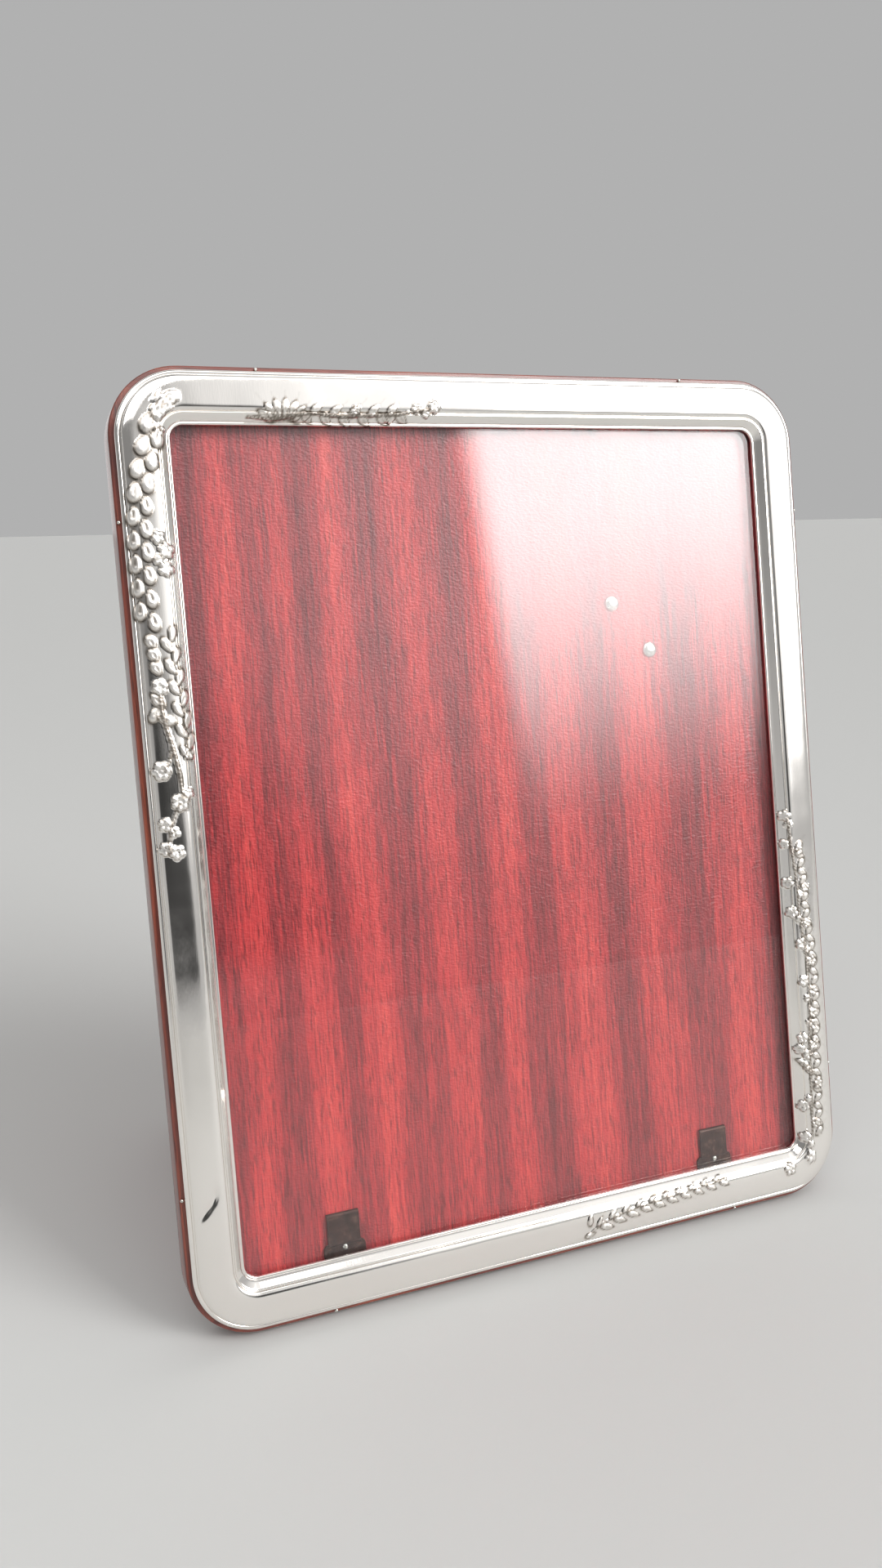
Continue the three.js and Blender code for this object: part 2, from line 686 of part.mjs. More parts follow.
const hingeGroup = new THREE.Group();
hingeGroup.position.copy(pinPlace);
hingeGroup.rotation.z = radians(hingeTurn);
hingeGroup.add(namedMesh('hinge_bracket', hingeBracket(), hingeBrass));
hingeGroup.add(namedMesh('hinge_pin', hingePin(), brightSteel));
hingeGroup.add(namedMesh('hinge_rivet_upper', hingeRivet(-1), brightSteel));
hingeGroup.add(namedMesh('hinge_rivet_lower', hingeRivet(1), brightSteel));
hingeGroup.add(strutGroup);

const panelGroup = new THREE.Group();
panelGroup.add(namedMesh('back_panel', backPanel(), panelVeneer));
for (const [side, word] of [[-1, 'left'], [1, 'right']]) {
  panelGroup.add(namedMesh(`tongue_${word}`, retainingTongue(side), bronzedSteel));
  panelGroup.add(namedMesh(`tongue_rivet_${word}`, tongueRivet(side), brightSteel));
}
panelGroup.add(namedMesh('catch_spring', catchSpring(), bronzedSteel));
panelGroup.add(namedMesh('catch_pin', catchPin(), brightSteel));
panelGroup.add(hingeGroup);

const frame = new THREE.Group();
frame.add(namedMesh('silver_front', silverFront(), silver));
frame.add(namedMesh('wood_frame', woodFrame(), lacqueredWood));
frame.add(namedMesh('glass_pane', glassPane(), clearGlass));
bradPlaces().forEach((place, i) => {
  frame.add(namedMesh(`brad_${i + 1}`, brad(place), brightSteel));
});
frame.add(panelGroup);

// Lean the frame back and stand it on the table, with the origin under the middle of its box
frame.rotation.x = Math.PI / 2 - radians(leanAngle);
const pictureFrame = new THREE.Group();
pictureFrame.add(frame);
pictureFrame.updateMatrixWorld(true);
const extent = new THREE.Box3().setFromObject(pictureFrame, true);
const middle = extent.getCenter(new THREE.Vector3());
frame.position.set(-middle.x, -middle.y, -extent.min.z);
pictureFrame.updateMatrixWorld(true);

export default pictureFrame;
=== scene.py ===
"""Looks of a silver-fronted easel picture frame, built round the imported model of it.

Most pieces are worked out in the frame's own plane, in millimetres: x to the right, y up the
frame and z towards the viewer, with z = 0 on the inner face of the back panel and the origin in
the middle of the picture opening.
"""
import json

import bmesh
import bpy
import numpy as np
from mathutils import Euler, Matrix, Vector


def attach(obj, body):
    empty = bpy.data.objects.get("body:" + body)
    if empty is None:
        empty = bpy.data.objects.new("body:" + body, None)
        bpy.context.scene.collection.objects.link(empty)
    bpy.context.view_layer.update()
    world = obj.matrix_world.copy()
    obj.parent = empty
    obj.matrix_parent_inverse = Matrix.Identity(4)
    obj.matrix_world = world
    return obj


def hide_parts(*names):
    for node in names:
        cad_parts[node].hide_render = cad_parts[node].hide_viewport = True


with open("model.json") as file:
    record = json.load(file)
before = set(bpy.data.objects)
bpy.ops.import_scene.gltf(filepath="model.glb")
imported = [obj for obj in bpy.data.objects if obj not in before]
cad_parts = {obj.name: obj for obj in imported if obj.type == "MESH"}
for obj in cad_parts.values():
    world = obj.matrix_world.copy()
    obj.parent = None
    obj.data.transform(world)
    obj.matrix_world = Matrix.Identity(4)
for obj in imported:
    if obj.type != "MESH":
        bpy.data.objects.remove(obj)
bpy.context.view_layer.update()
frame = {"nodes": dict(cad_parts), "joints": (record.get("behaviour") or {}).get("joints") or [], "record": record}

# Wood frame: dark red-brown mahogany under a gloss lacquer, its four rails mitred at the round
# corners. The ledge outside the silver, the side and the back show. It is shaped on a spindle
# moulder; slots for the tongues and the thumb notch are cut afterwards.
sight_half = np.array([96.0, 121.5])
sight_radius = 4.0
rebate_out, rebate_radius, rebate_chamfer = 4.5, 3.0, 0.5
frame_side = 16.6
frame_back = -6.0
ledge_height = 3.9
ledge_round, back_round = 0.6, 1.5
core_inset = 0.8
# The moulding's line over the core: bevel, groove and cushion
bevel_foot, bevel_rise = 4.4, 2.5
groove_out, groove_floor = (3.0, 3.55), 6.4
cushion_middle, cushion_half, cushion_rise, cushion_power = 8.45, 4.9, 1.1, 3.6
cushion_points = 41
panel_bottom = -125.7
tongue_x = 65.0
tongue_slot_half = 7.0
tongue_slot_depth = 4.5
tongue_slot_top = 6.9
thumb_notch_radius, thumb_notch_depth = 9.0, 3.0

# The frame's plane, from the mount on its back face, which lies 105 mm right of the middle
back_rim = next(m for m in frame["record"]["mounts"] if m["name"] == "back_rim")
rim_aside = 0.105
board_normal = -Vector(back_rim["axis"])
board_right = Vector((1, 0, 0))
board_up = board_normal.cross(board_right)
board_origin = Vector(back_rim["pos_m"]) - board_right * rim_aside
board_origin -= board_normal * frame_back / 1000
board_axes = Matrix((board_right, board_up, board_normal)).transposed().to_4x4()
board = Matrix.Translation(board_origin) @ board_axes


def moved(points, matrix):
    """Points, one in each row, turned and shifted by a 4 x 4 matrix."""
    return points @ np.array(matrix.to_3x3()).T + np.array(matrix.translation)


def stations(sides, corner_steps):
    """Stations round the frame, anticlockwise from the foot of the right rail. Each is the share of
    the half width and half height at which its corner centre lies, and the angle of its normal.
    sides gives, for each rail in turn, its places from -1 to 1 in the direction of travel."""
    made = []
    for k, along in enumerate(sides):
        turn = k * np.pi / 2
        bend = np.linspace(0, np.pi / 2, corner_steps + 1)[1:-1]
        place = np.r_[along, np.ones(len(bend))]
        angle = np.r_[np.full(len(along), turn), turn + bend]
        x, y = np.ones(len(place)), place
        c, s = round(np.cos(turn)), round(np.sin(turn))
        made.append(np.c_[c * x - s * y, s * x + c * y, angle])
    return np.concatenate(made)


def ring(at, section):
    """A closed section (out, height, corner radius) carried round the stations: each point is its
    corner centre plus its corner radius along the station's normal."""
    out, height, radius = section.T
    reach = sight_half[:, None] + out - radius
    x = at[:, :1] * reach[0] + np.cos(at[:, 2:]) * radius
    y = at[:, 1:2] * reach[1] + np.sin(at[:, 2:]) * radius
    return np.stack([x, y, np.broadcast_to(height, x.shape)], -1)


def closed_grid(name, points):
    """Smooth mesh of quads over a grid of points in the frame's plane that closes on itself along
    both directions. Its faces point outwards when the last index runs anticlockwise seen against
    the first one's travel."""
    rows, columns = points.shape[:2]
    here = np.arange(rows * columns).reshape(rows, columns)
    ahead = np.roll(here, -1, 0)
    quads = np.stack([here, ahead, np.roll(ahead, -1, 1), np.roll(here, -1, 1)], -1)
    placed = moved(points.reshape(-1, 3) / 1000, board)
    mesh = bpy.data.meshes.new(name)
    mesh.vertices.add(len(placed))
    mesh.vertices.foreach_set("co", placed.astype(np.float32).ravel())
    mesh.loops.add(quads.size)
    mesh.loops.foreach_set("vertex_index", quads.astype(np.int32).ravel())
    mesh.polygons.add(rows * columns)
    mesh.polygons.foreach_set("loop_start", np.arange(0, quads.size, 4, dtype=np.int32))
    mesh.update(calc_edges=True)
    mesh.shade_smooth()
    return mesh


def put(name, data):
    """A new object of the scene that holds a mesh, a lamp or a camera."""
    made = bpy.data.objects.new(name, data)
    bpy.context.scene.collection.objects.link(made)
    return made


def piece(name, mesh, body, material, node):
    """Puts a finished mesh in the scene as a piece that rides on a body, takes the given material
    and hides the node that it stands for."""
    made = put(name, mesh)
    mesh.materials.clear()
    mesh.materials.append(material)
    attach(made, body)
    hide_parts(node)


def applied(made):
    """The mesh that an object has once its modifiers are applied; the object itself goes."""
    bpy.context.view_layer.update()
    evaluated = made.evaluated_get(bpy.context.evaluated_depsgraph_get())
    mesh = bpy.data.meshes.new_from_object(evaluated)
    bpy.data.objects.remove(made)
    return mesh


def arc(x, y, radius, start, end, steps):
    """Points of a circular arc in the section's plane, from start to end in degrees."""
    angle = np.radians(np.linspace(start, end, steps + 1))
    return np.c_[x + radius * np.cos(angle), y + radius * np.sin(angle)]


def linear(code):
    """An sRGB hex colour as linear RGBA: up to 0.04045 the value over 12.92, above it the value
    plus 0.055, over 1.055, to the power 2.4."""
    share = np.array([int(code[i:i + 2], 16) for i in (1, 3, 5)]) / 255
    low = share / 12.92
    return (*np.where(share <= 0.04045, low, ((share + 0.055) / 1.055) ** 2.4), 1.0)


def add(tree, kind, links=None, stops=None, **settings):
    """Adds a shader node with its settings. links gives sockets by name or number, each a value or
    the socket that feeds it, and stops are a colour ramp's places with their hex colours."""
    made = tree.nodes.new(kind)
    for name, value in settings.items():
        setattr(made, name, value)
    for key, value in (links or {}).items():
        if isinstance(value, bpy.types.NodeSocket):
            tree.links.new(value, made.inputs[key])
        else:
            made.inputs[key].default_value = value
    if stops:
        ramp = made.color_ramp.elements
        while len(ramp) < len(stops):
            ramp.new(0.5)
        for element, (place, code) in zip(ramp, stops):
            element.position = place
            element.color = linear(code)
    return made


def material_tree(name):
    """A new node material and its node tree, emptied."""
    material = bpy.data.materials.new(name)
    material.use_nodes = True
    tree = material.node_tree
    tree.nodes.clear()
    return material, tree


def streaks(tree, place, scale, turn=(0, 0, 0), **settings):
    """A noise whose cells are drawn out: the place is turned, then scaled along each axis, in cells
    per unit of the place, before the noise reads it. The settings are the noise's sockets."""
    drawn = add(tree, "ShaderNodeMapping", {"Vector": place, "Rotation": turn, "Scale": scale})
    return add(tree, "ShaderNodeTexNoise", {
        "Vector": drawn.outputs[0], "Scale": 1.0, **settings}).outputs["Fac"]


# Mahogany, planed, stained and lacquered. The grain follows the piece's own "grain" attribute
# (across, along, depth, in millimetres): dark vessel lines 0.4 mm wide and 12 mm long, a little
# coarser than real, soft colour bands 5 mm wide, and a clear coat over both.
lacquered_mahogany, tree = material_tree("lacquered_mahogany")
grain = add(tree, "ShaderNodeAttribute", attribute_name="grain").outputs["Vector"]
bands = streaks(tree, grain, (0.2, 0.012, 0.2), Detail=4.0, Roughness=0.6, Distortion=0.4)
vessels = streaks(tree, grain, (2.4, 0.085, 2.4), Detail=2.0, Roughness=0.55)
band_colour = add(tree, "ShaderNodeValToRGB", {"Fac": bands}, stops=[
    (0.30, "#4a1c14"), (0.50, "#763123"), (0.70, "#984a33")]).outputs["Color"]
vessel_share = add(tree, "ShaderNodeMapRange", {
    "Value": vessels, "From Min": 0.52, "From Max": 0.72, "To Max": 0.75}).outputs[0]
wood_colour = add(tree, "ShaderNodeMix", {
    "Factor": vessel_share, "A": band_colour, "B": linear("#2a0d09")}, data_type="RGBA").outputs[2]
wood_bump = add(tree, "ShaderNodeBump", {
    "Height": vessel_share, "Strength": 0.25, "Distance": 0.00006}, invert=True).outputs[0]
wood_shader = add(tree, "ShaderNodeBsdfPrincipled", {
    "Base Color": wood_colour, "Roughness": 0.42, "IOR": 1.5, "Coat Weight": 0.7,
    "Coat Roughness": 0.09, "Normal": wood_bump})
add(tree, "ShaderNodeOutputMaterial", {"Surface": wood_shader.outputs[0]})


def core_line(inset):
    """The silver's bevel, groove floor and cushion sunk by the inset, outwards from the sight edge.
    The cushion is half of a flat superellipse: its half width times a cosine and its rise times a
    sine, both raised to 2 / cushion_power with their signs kept."""
    slope = np.arctan2(bevel_rise, groove_out[0])
    sink, lift = inset / np.cos(slope), inset * np.tan(slope)
    bevel_end = bevel_foot + bevel_rise - lift - sink
    floor = min(groove_floor - inset, bevel_end)
    angle = np.radians(np.linspace(180, 0, cushion_points))
    power = 2 / cushion_power
    across = np.sign(np.cos(angle)) * abs(np.cos(angle)) ** power
    rise = np.clip(np.sin(angle), 0, 1) ** power
    cushion = np.c_[cushion_middle + (cushion_half - inset) * across,
                    groove_floor + (cushion_rise - inset) * rise]
    line = np.r_[[[inset, ledge_height], [inset, bevel_foot + lift - sink],
                  [groove_out[0] - inset, bevel_end], [groove_out[0] - inset, floor],
                  [groove_out[1] + inset, floor]], cushion]
    return line[np.r_[True, abs(np.diff(line, axis=0)).sum(1) > 1e-6]]


# The section runs out along the back, up the side and in over the ledge and the core, where the
# cushion takes every other point, and then down the rebate
core = core_line(core_inset)[::-1]
outer = np.r_[
    [[rebate_out + rebate_chamfer, frame_back]],
    arc(frame_side - back_round, frame_back + back_round, back_round, -90, 0, 8),
    arc(frame_side - ledge_round, ledge_height - ledge_round, ledge_round, 0, 90, 6),
    [[core[0, 0], ledge_height]], core[:cushion_points:2], core[cushion_points:]]
rail_section = np.r_[
    [[outer[0, 0], outer[0, 1], rebate_radius + rebate_chamfer]],
    np.c_[outer[1:], outer[1:, 0] + sight_radius],
    [[rebate_out, ledge_height, rebate_radius],
     [rebate_out, frame_back + rebate_chamfer, rebate_radius]]]
rail_stations = stations([np.linspace(-1, 1, 13)] * 4, corner_steps=16)
rail_mesh = closed_grid("rails", ring(rail_stations, rail_section))


def cutter(solid):
    """A solid drawn on the board's axes as a closed mesh in its place, the tool for a cut."""
    mesh = bpy.data.meshes.new("cutter")
    solid.transform(board)
    solid.to_mesh(mesh)
    solid.free()
    return mesh


def cutting_box(low, high):
    """A block between two corners on the board."""
    solid = bmesh.new()
    bmesh.ops.create_cube(solid, size=1)
    size, middle = Vector(high) - Vector(low), (Vector(high) + Vector(low)) / 2
    bmesh.ops.scale(solid, vec=size / 1000, verts=solid.verts)
    bmesh.ops.translate(solid, vec=middle / 1000, verts=solid.verts)
    return cutter(solid)


def cutting_disc(x, y, radius, back, front):
    """An upright round block on the board."""
    solid = bmesh.new()
    bmesh.ops.create_cone(solid, cap_ends=True, segments=64, radius1=radius / 1000,
                          radius2=radius / 1000, depth=(front - back) / 1000)
    bmesh.ops.translate(solid, vec=Vector((x, y, (back + front) / 2)) / 1000, verts=solid.verts)
    return cutter(solid)


def cut(mesh, tools):
    """The mesh with each tool's shape taken out of it."""
    blank = put("blank", mesh)
    cutters = [put("cutter", tool) for tool in tools]
    for tool in cutters:
        modifier = blank.modifiers.new("cut", "BOOLEAN")
        modifier.object, modifier.operation, modifier.solver = tool, "DIFFERENCE", "EXACT"
    made = applied(blank)
    for tool in cutters:
        bpy.data.objects.remove(tool)
    return made


tongue_slots = [cutting_box(
    (side * tongue_x - tongue_slot_half, panel_bottom - tongue_slot_depth, 0),
    (side * tongue_x + tongue_slot_half, -sight_half[1] - rebate_out + 1, tongue_slot_top))
    for side in (-1, 1)]
thumb_notch = cutting_disc(0, sight_half[1] + rebate_out, thumb_notch_radius,
                           frame_back - 1, frame_back + thumb_notch_depth)
rail_mesh = cut(rail_mesh, [*tongue_slots, thumb_notch])


def set_grain(mesh, inverse, mitred=False, along=(0, 1, 0)):
    """Writes the grain attribute of every face corner: its place across, along and through the
    wood, in millimetres. On mitred rails each face takes the direction of its own rail, and the
    top and bottom rails are 300 mm off across the grain, so that they are other planks."""
    points = np.zeros(len(mesh.vertices) * 3, np.float32)
    mesh.vertices.foreach_get("co", points)
    corner = np.zeros(len(mesh.loops), np.int32)
    mesh.loops.foreach_get("vertex_index", corner)
    at = (moved(points.reshape(-1, 3), inverse) * 1000)[corner]
    axis = np.array(Vector(along).normalized())
    side = np.cross(axis, (0, 0, 1))
    value = np.c_[at @ side, at @ axis, at[:, 2]]
    if mitred:
        count = np.zeros(len(mesh.polygons), np.int32)
        centre = np.zeros(len(mesh.polygons) * 3, np.float32)
        mesh.polygons.foreach_get("loop_total", count)
        mesh.polygons.foreach_get("center", centre)
        middle = abs(moved(centre.reshape(-1, 3), inverse)) * 1000
        end_rail = middle[:, 1] - sight_half[1] > middle[:, 0] - sight_half[0]
        end_rail = np.repeat(end_rail, count)[:, None]
        value = np.where(end_rail, np.c_[at[:, 1] + 300, at[:, 0], at[:, 2]], value)
    mesh.attributes.new("grain", "FLOAT_VECTOR", "CORNER").data.foreach_set(
        "vector", value.astype(np.float32).ravel())


set_grain(rail_mesh, board.inverted(), mitred=True)
piece("lacquered_rails", rail_mesh, "frame", lacquered_mahogany, "wood_frame")

# Silver front: sterling sheet half a millimetre thick, pressed in one piece over the wood core: a
# rolled sight edge, a narrow bevel, a fine groove, a broad cushion and an outer bead, with sprays
# of leaves and flowers chased in low relief. It is tacked to the wood with brads, lightly worn.
sheet_thickness = 0.5
roll_radius, roll_height = 0.45, 4.55
bevel_start = (1.05, 5.27)
bead_radius, bead_out, bead_height = 0.875, 14.225, 4.9
rim_out, rim_height = 15.1, 4.2
# Spread of the averaging that rounds the section's corners, and the pitch of its samples
section_rounding, sampling = 0.11, 0.02
# Pitch of the grid along a rail, where it is plain and where it is chased
plain_pitch, chased_pitch = 8, 0.41
# Height of relief from which the groove under it is full, and from which it is satin
full_groove, full_satin = 0.25, 0.12

# Sterling silver, hand polished. A metal with its default IOR: nearly white with a warm cast,
# mirror bright where it is rubbed, with grey tarnish in the chased recesses that is painted darker
# to stand in for the shade round the foot of the chasing and in the leaf veins (a point attribute
# of the piece), satin on the chased leaves and petals (its "chased" attribute), cloudy wipe marks
# some 15 mm wide, a faint swell of the sheet some 20 mm wide, and hairline scratches finer than
# 0.1 mm that are drawn a little coarser to show.
polished_silver, tree = material_tree("polished_silver")
place = add(tree, "ShaderNodeTexCoord").outputs["Object"]
tarnish_and_shade = add(tree, "ShaderNodeAttribute", attribute_name="tarnish_and_shade").outputs["Fac"]
chased = add(tree, "ShaderNodeAttribute", attribute_name="chased").outputs["Fac"]
wipe = add(tree, "ShaderNodeTexNoise", {
    "Vector": place, "Scale": 65.0, "Detail": 5.0, "Roughness": 0.62, "Distortion": 0.6})
hairlines = streaks(tree, place, (2400, 130, 420), (0.5, 0.35, 0.6), Detail=2.0, Roughness=0.5)
# The colour runs from polished white to a grey that paints the tarnish and the shade at the foot of the chasing
# and in the veins
tarnished_and_shaded_silver = add(tree, "ShaderNodeValToRGB", {"Fac": tarnish_and_shade}, stops=[
    (0.0, "#f6f2ed"), (0.5, "#cfc8c0"), (1.0, "#7d746a")]).outputs["Color"]
polish = add(tree, "ShaderNodeMapRange", {
    "Value": wipe.outputs["Fac"], "From Min": 0.35, "From Max": 0.75,
    "To Min": 0.045, "To Max": 0.15}).outputs[0]
satin = add(tree, "ShaderNodeMath", {
    0: chased, 1: 0.26, 2: polish}, operation="MULTIPLY_ADD").outputs[0]
dulled = add(tree, "ShaderNodeMath", {
    0: tarnish_and_shade, 1: 0.12, 2: satin}, operation="MULTIPLY_ADD").outputs[0]
swell = add(tree, "ShaderNodeTexNoise", {
    "Vector": place, "Scale": 48.0, "Detail": 1.0}).outputs["Fac"]
swell_bump = add(tree, "ShaderNodeBump", {
    "Height": swell, "Strength": 1.0, "Distance": 0.00022}).outputs[0]
hair_bump = add(tree, "ShaderNodeBump", {
    "Height": hairlines, "Normal": swell_bump, "Strength": 0.35, "Distance": 0.000012}).outputs[0]
silver_shader = add(tree, "ShaderNodeBsdfPrincipled", {
    "Base Color": tarnished_and_shaded_silver, "Metallic": 1.0, "Roughness": dulled, "Normal": hair_bump})
add(tree, "ShaderNodeOutputMaterial", {"Surface": silver_shader.outputs[0]})


def travelled(line):
    """Distance along a line at each of its points."""
    return np.r_[0, np.cumsum(np.hypot(*np.diff(line, axis=0).T))]


def sampled(at, travel, values):
    """The columns of values, given at the distances travel, read off at other distances."""
    return np.stack([np.interp(at, travel, column) for column in values.T], -1)


def smoothed(line, kernel):
    """A line whose points are averaged with their neighbours by the kernel's shares. Its end
    points are repeated past its ends."""
    half = len(kernel) // 2
    padded = np.r_[np.repeat(line[:1], half, 0), line, np.repeat(line[-1:], half, 0)]
    return np.stack([np.convolve(column, kernel, "valid") for column in padded.T], -1)


def front_section(count):
    """Face of the moulding from the sight edge to the rim: the drawn line sampled finely, its
    corners rounded by averaging 20 samples each way, then thinned out where it bends least: a
    sample weighs 2.6 plus 0.9 times its bend in radians per millimetre. Gives places (out, height)
    and normals."""
    line = np.r_[[[0, ledge_height]], arc(roll_radius, roll_height, roll_radius, 180, 30, 10),
                 [bevel_start], core_line(0)[2:],
                 arc(bead_out, bead_height, bead_radius, 180, 0, 16), [[rim_out, rim_height]]]
    travel, kept = np.unique(travelled(line).round(6), return_index=True)
    even = sampled(np.arange(0, travel[-1], sampling), travel, line[kept])
    spread = np.arange(-20, 21) * sampling
    kernel = np.exp(-0.5 * (spread / section_rounding) ** 2)
    soft = smoothed(even, kernel / kernel.sum())
    tangent = np.gradient(soft, axis=0)
    tangent /= np.linalg.norm(tangent, axis=1, keepdims=True) + 1e-12
    bend = np.linalg.norm(np.gradient(tangent, axis=0), axis=1) / sampling
    weight = np.cumsum(2.6 + 0.9 * bend)
    number = np.arange(len(soft))
    pick = np.interp(np.linspace(weight[0], weight[-1], count), weight, number)
    chosen = sampled(pick, number, np.c_[soft, -tangent[:, 1], tangent[:, 0]])
    return chosen[:, :2], chosen[:, 2:]


def rail_steps(half, *chased):
    """Places along one rail from -1 to 1: steps of plain_pitch where it is plain, and of
    chased_pitch over the chased stretches, each given from and to in millimetres in the direction
    of travel."""
    places, last = [], -half
    for low, high in (*chased, (half, half)):
        places += list(np.linspace(last, low, int((low - last) / plain_pitch) + 2))
        places += list(np.linspace(low, high, int((high - low) / chased_pitch) + 2))
        last = high
    return np.unique(np.round(np.clip(places, -half, half), 5)) / half


# The rails in the direction of travel: right upwards, top leftwards, left downwards, bottom right
reach = sight_half - sight_radius
silver_stations = stations([
    rail_steps(reach[1], (-117.5, -4)), rail_steps(reach[0], (14, 92)),
    rail_steps(reach[1], (-117.5, 1), (84, 106)), rail_steps(reach[0], (11, 70), (86, 92))],
    corner_steps=24)
face, face_normal = front_section(count=66)
# The sheet's back takes every fifth point of the cushion
back_core = core_line(sheet_thickness)
back_line = np.r_[back_core[:4], back_core[4::5],
                  arc(bead_out, bead_height, bead_radius - sheet_thickness, 120, 0, 3),
                  [[rim_out - sheet_thickness, rim_height]]]


def rail_place(rail, along, out):
    """A place given by its rail, how far along and how far out it lies, on the board."""
    if rail in "LR":
        return np.array([(sight_half[0] + out) * (-1 if rail == "L" else 1), along])
    return np.array([along, (sight_half[1] + out) * (-1 if rail == "B" else 1)])


def path_places(points, pitch):
    """Places at a pitch along the smooth line through points, and the line's direction at each.
    The line is sampled every 0.2 mm and averaged over 17 samples, the nearest counting most."""
    points = np.array(points, float)
    knots = travelled(points)
    line = sampled(np.linspace(0, knots[-1], int(knots[-1] / 0.2) + 2), knots, points)
    line = smoothed(line, np.hanning(19)[1:-1] / np.hanning(19).sum())
    travel = travelled(line)
    at = np.arange(0, travel[-1] + 1e-6, pitch)
    heading = sampled(at, travel, np.gradient(line, axis=0))
    return np.c_[sampled(at, travel, line), np.arctan2(heading[:, 1], heading[:, 0])]


def rail_places(rail, *places):
    """Several places along and out on one rail, on the board."""
    return [rail_place(rail, along, out) for along, out in places]


class Relief:
    """Height of the chasing over the silver's points, raised stroke by stroke, and its tarnish with painted shade
    at the foot of each stroke and in the veins.
    """

    def __init__(self, points):
        self.x, self.y = points[:, 0], points[:, 1]
        self.height, self.tarnish_and_shade = np.zeros(len(points)), np.zeros(len(points))

    def raise_by(self, near, height, share):
        """Keeps the higher of what is there and a stroke. Its share is 1 on the stroke's outline, and a
        band just outside it is darkened as painted shade, with tarnish, where the stroke meets the sheet."""
        self.height[near] = np.maximum(self.height[near], height)
        # Painted shade, with tarnish, in a band round the stroke's foot
        self.tarnish_and_shade[near] = np.maximum(self.tarnish_and_shade[near], np.exp(-((share - 1.1) / 0.2) ** 2))

    def local(self, x, y, angle, far):
        """Points within reach of a place, turned so that the stroke runs along the first axis."""
        near = np.flatnonzero((abs(self.x - x) < far) & (abs(self.y - y) < far))
        dx, dy = self.x[near] - x, self.y[near] - y
        c, s = np.cos(angle), np.sin(angle)
        return near, dx * c + dy * s, dy * c - dx * s

    def leaf(self, x, y, angle, length, width, height, depth=0.5):
        """Plump pointed oval: a dome that falls to the sheet outside, with a vein sunk along it by
        a share of its height. The share of the outline is the root of the lengthwise part to the
        power 1.7 plus the square of the widthwise part, which narrows towards the tip."""
        near, p, q = self.local(x, y, angle, length)
        lengthwise = np.clip(2 * p / length, -1.5, 1.5)
        share = np.sqrt(abs(lengthwise) ** 1.7 + (2 * q / width / (1 - 0.25 * lengthwise)) ** 2)
        dome = np.sqrt(np.clip(1 - share ** 2, 0, 1))
        vein = np.exp(-(q / 0.42) ** 2) * np.clip(1.9 - abs(6 * p / length - 0.6), 0, 1)
        self.raise_by(near, height * dome * (1 - depth * vein), share)
        # The sunk vein is darkened as painted shade, with some tarnish in it
        self.tarnish_and_shade[near] = np.maximum(self.tarnish_and_shade[near], depth * vein * (share < 1))

    def bud(self, x, y, angle, length, width, height):
        """Smooth oval boss, highest in the middle."""
        near, p, q = self.local(x, y, angle, length)
        share = np.hypot(2 * p / length, 2 * q / width)
        self.raise_by(near, height * np.sqrt(np.clip(1 - share ** 2, 0, 1)), share)

    def flower(self, x, y, turn, radius, height, petals=5):
        """Ring of small domed petals round a boss: each petal is a dome at 0.62 of the radius."""
        near, p, q = self.local(x, y, turn, 1.3 * radius)
        rho, phi = np.hypot(p, q), np.arctan2(q, p)
        step = 2 * np.pi / petals
        within = (phi + step / 2) % step - step / 2
        petal = np.hypot(rho * np.cos(within) - 0.62 * radius, rho * np.sin(within))
        petal /= 0.4 * radius
        boss = rho / (0.27 * radius)
        share = np.minimum(petal, boss)
        dome = np.sqrt(np.clip(1 - petal ** 2, 0, 1))
        knob = 0.9 * np.sqrt(np.clip(1 - boss ** 2, 0, 1))
        self.raise_by(near, height * np.maximum(dome, knob), share)

    def flowers(self, rail, height, rows):
        """Flowers on a rail, each row its place along and out, its radius and, if not five, its
        number of petals."""
        for along, out, radius, *petals in rows:
            self.flower(*rail_place(rail, along, out), along, radius, height, *petals)

    def stem(self, width, height, rail, *places):
        """Rounded cord along a smooth line through places on a rail."""
        for x, y, _ in path_places(rail_places(rail, *places), 0.3):
            self.bud(x, y, 0.0, width, width, height)


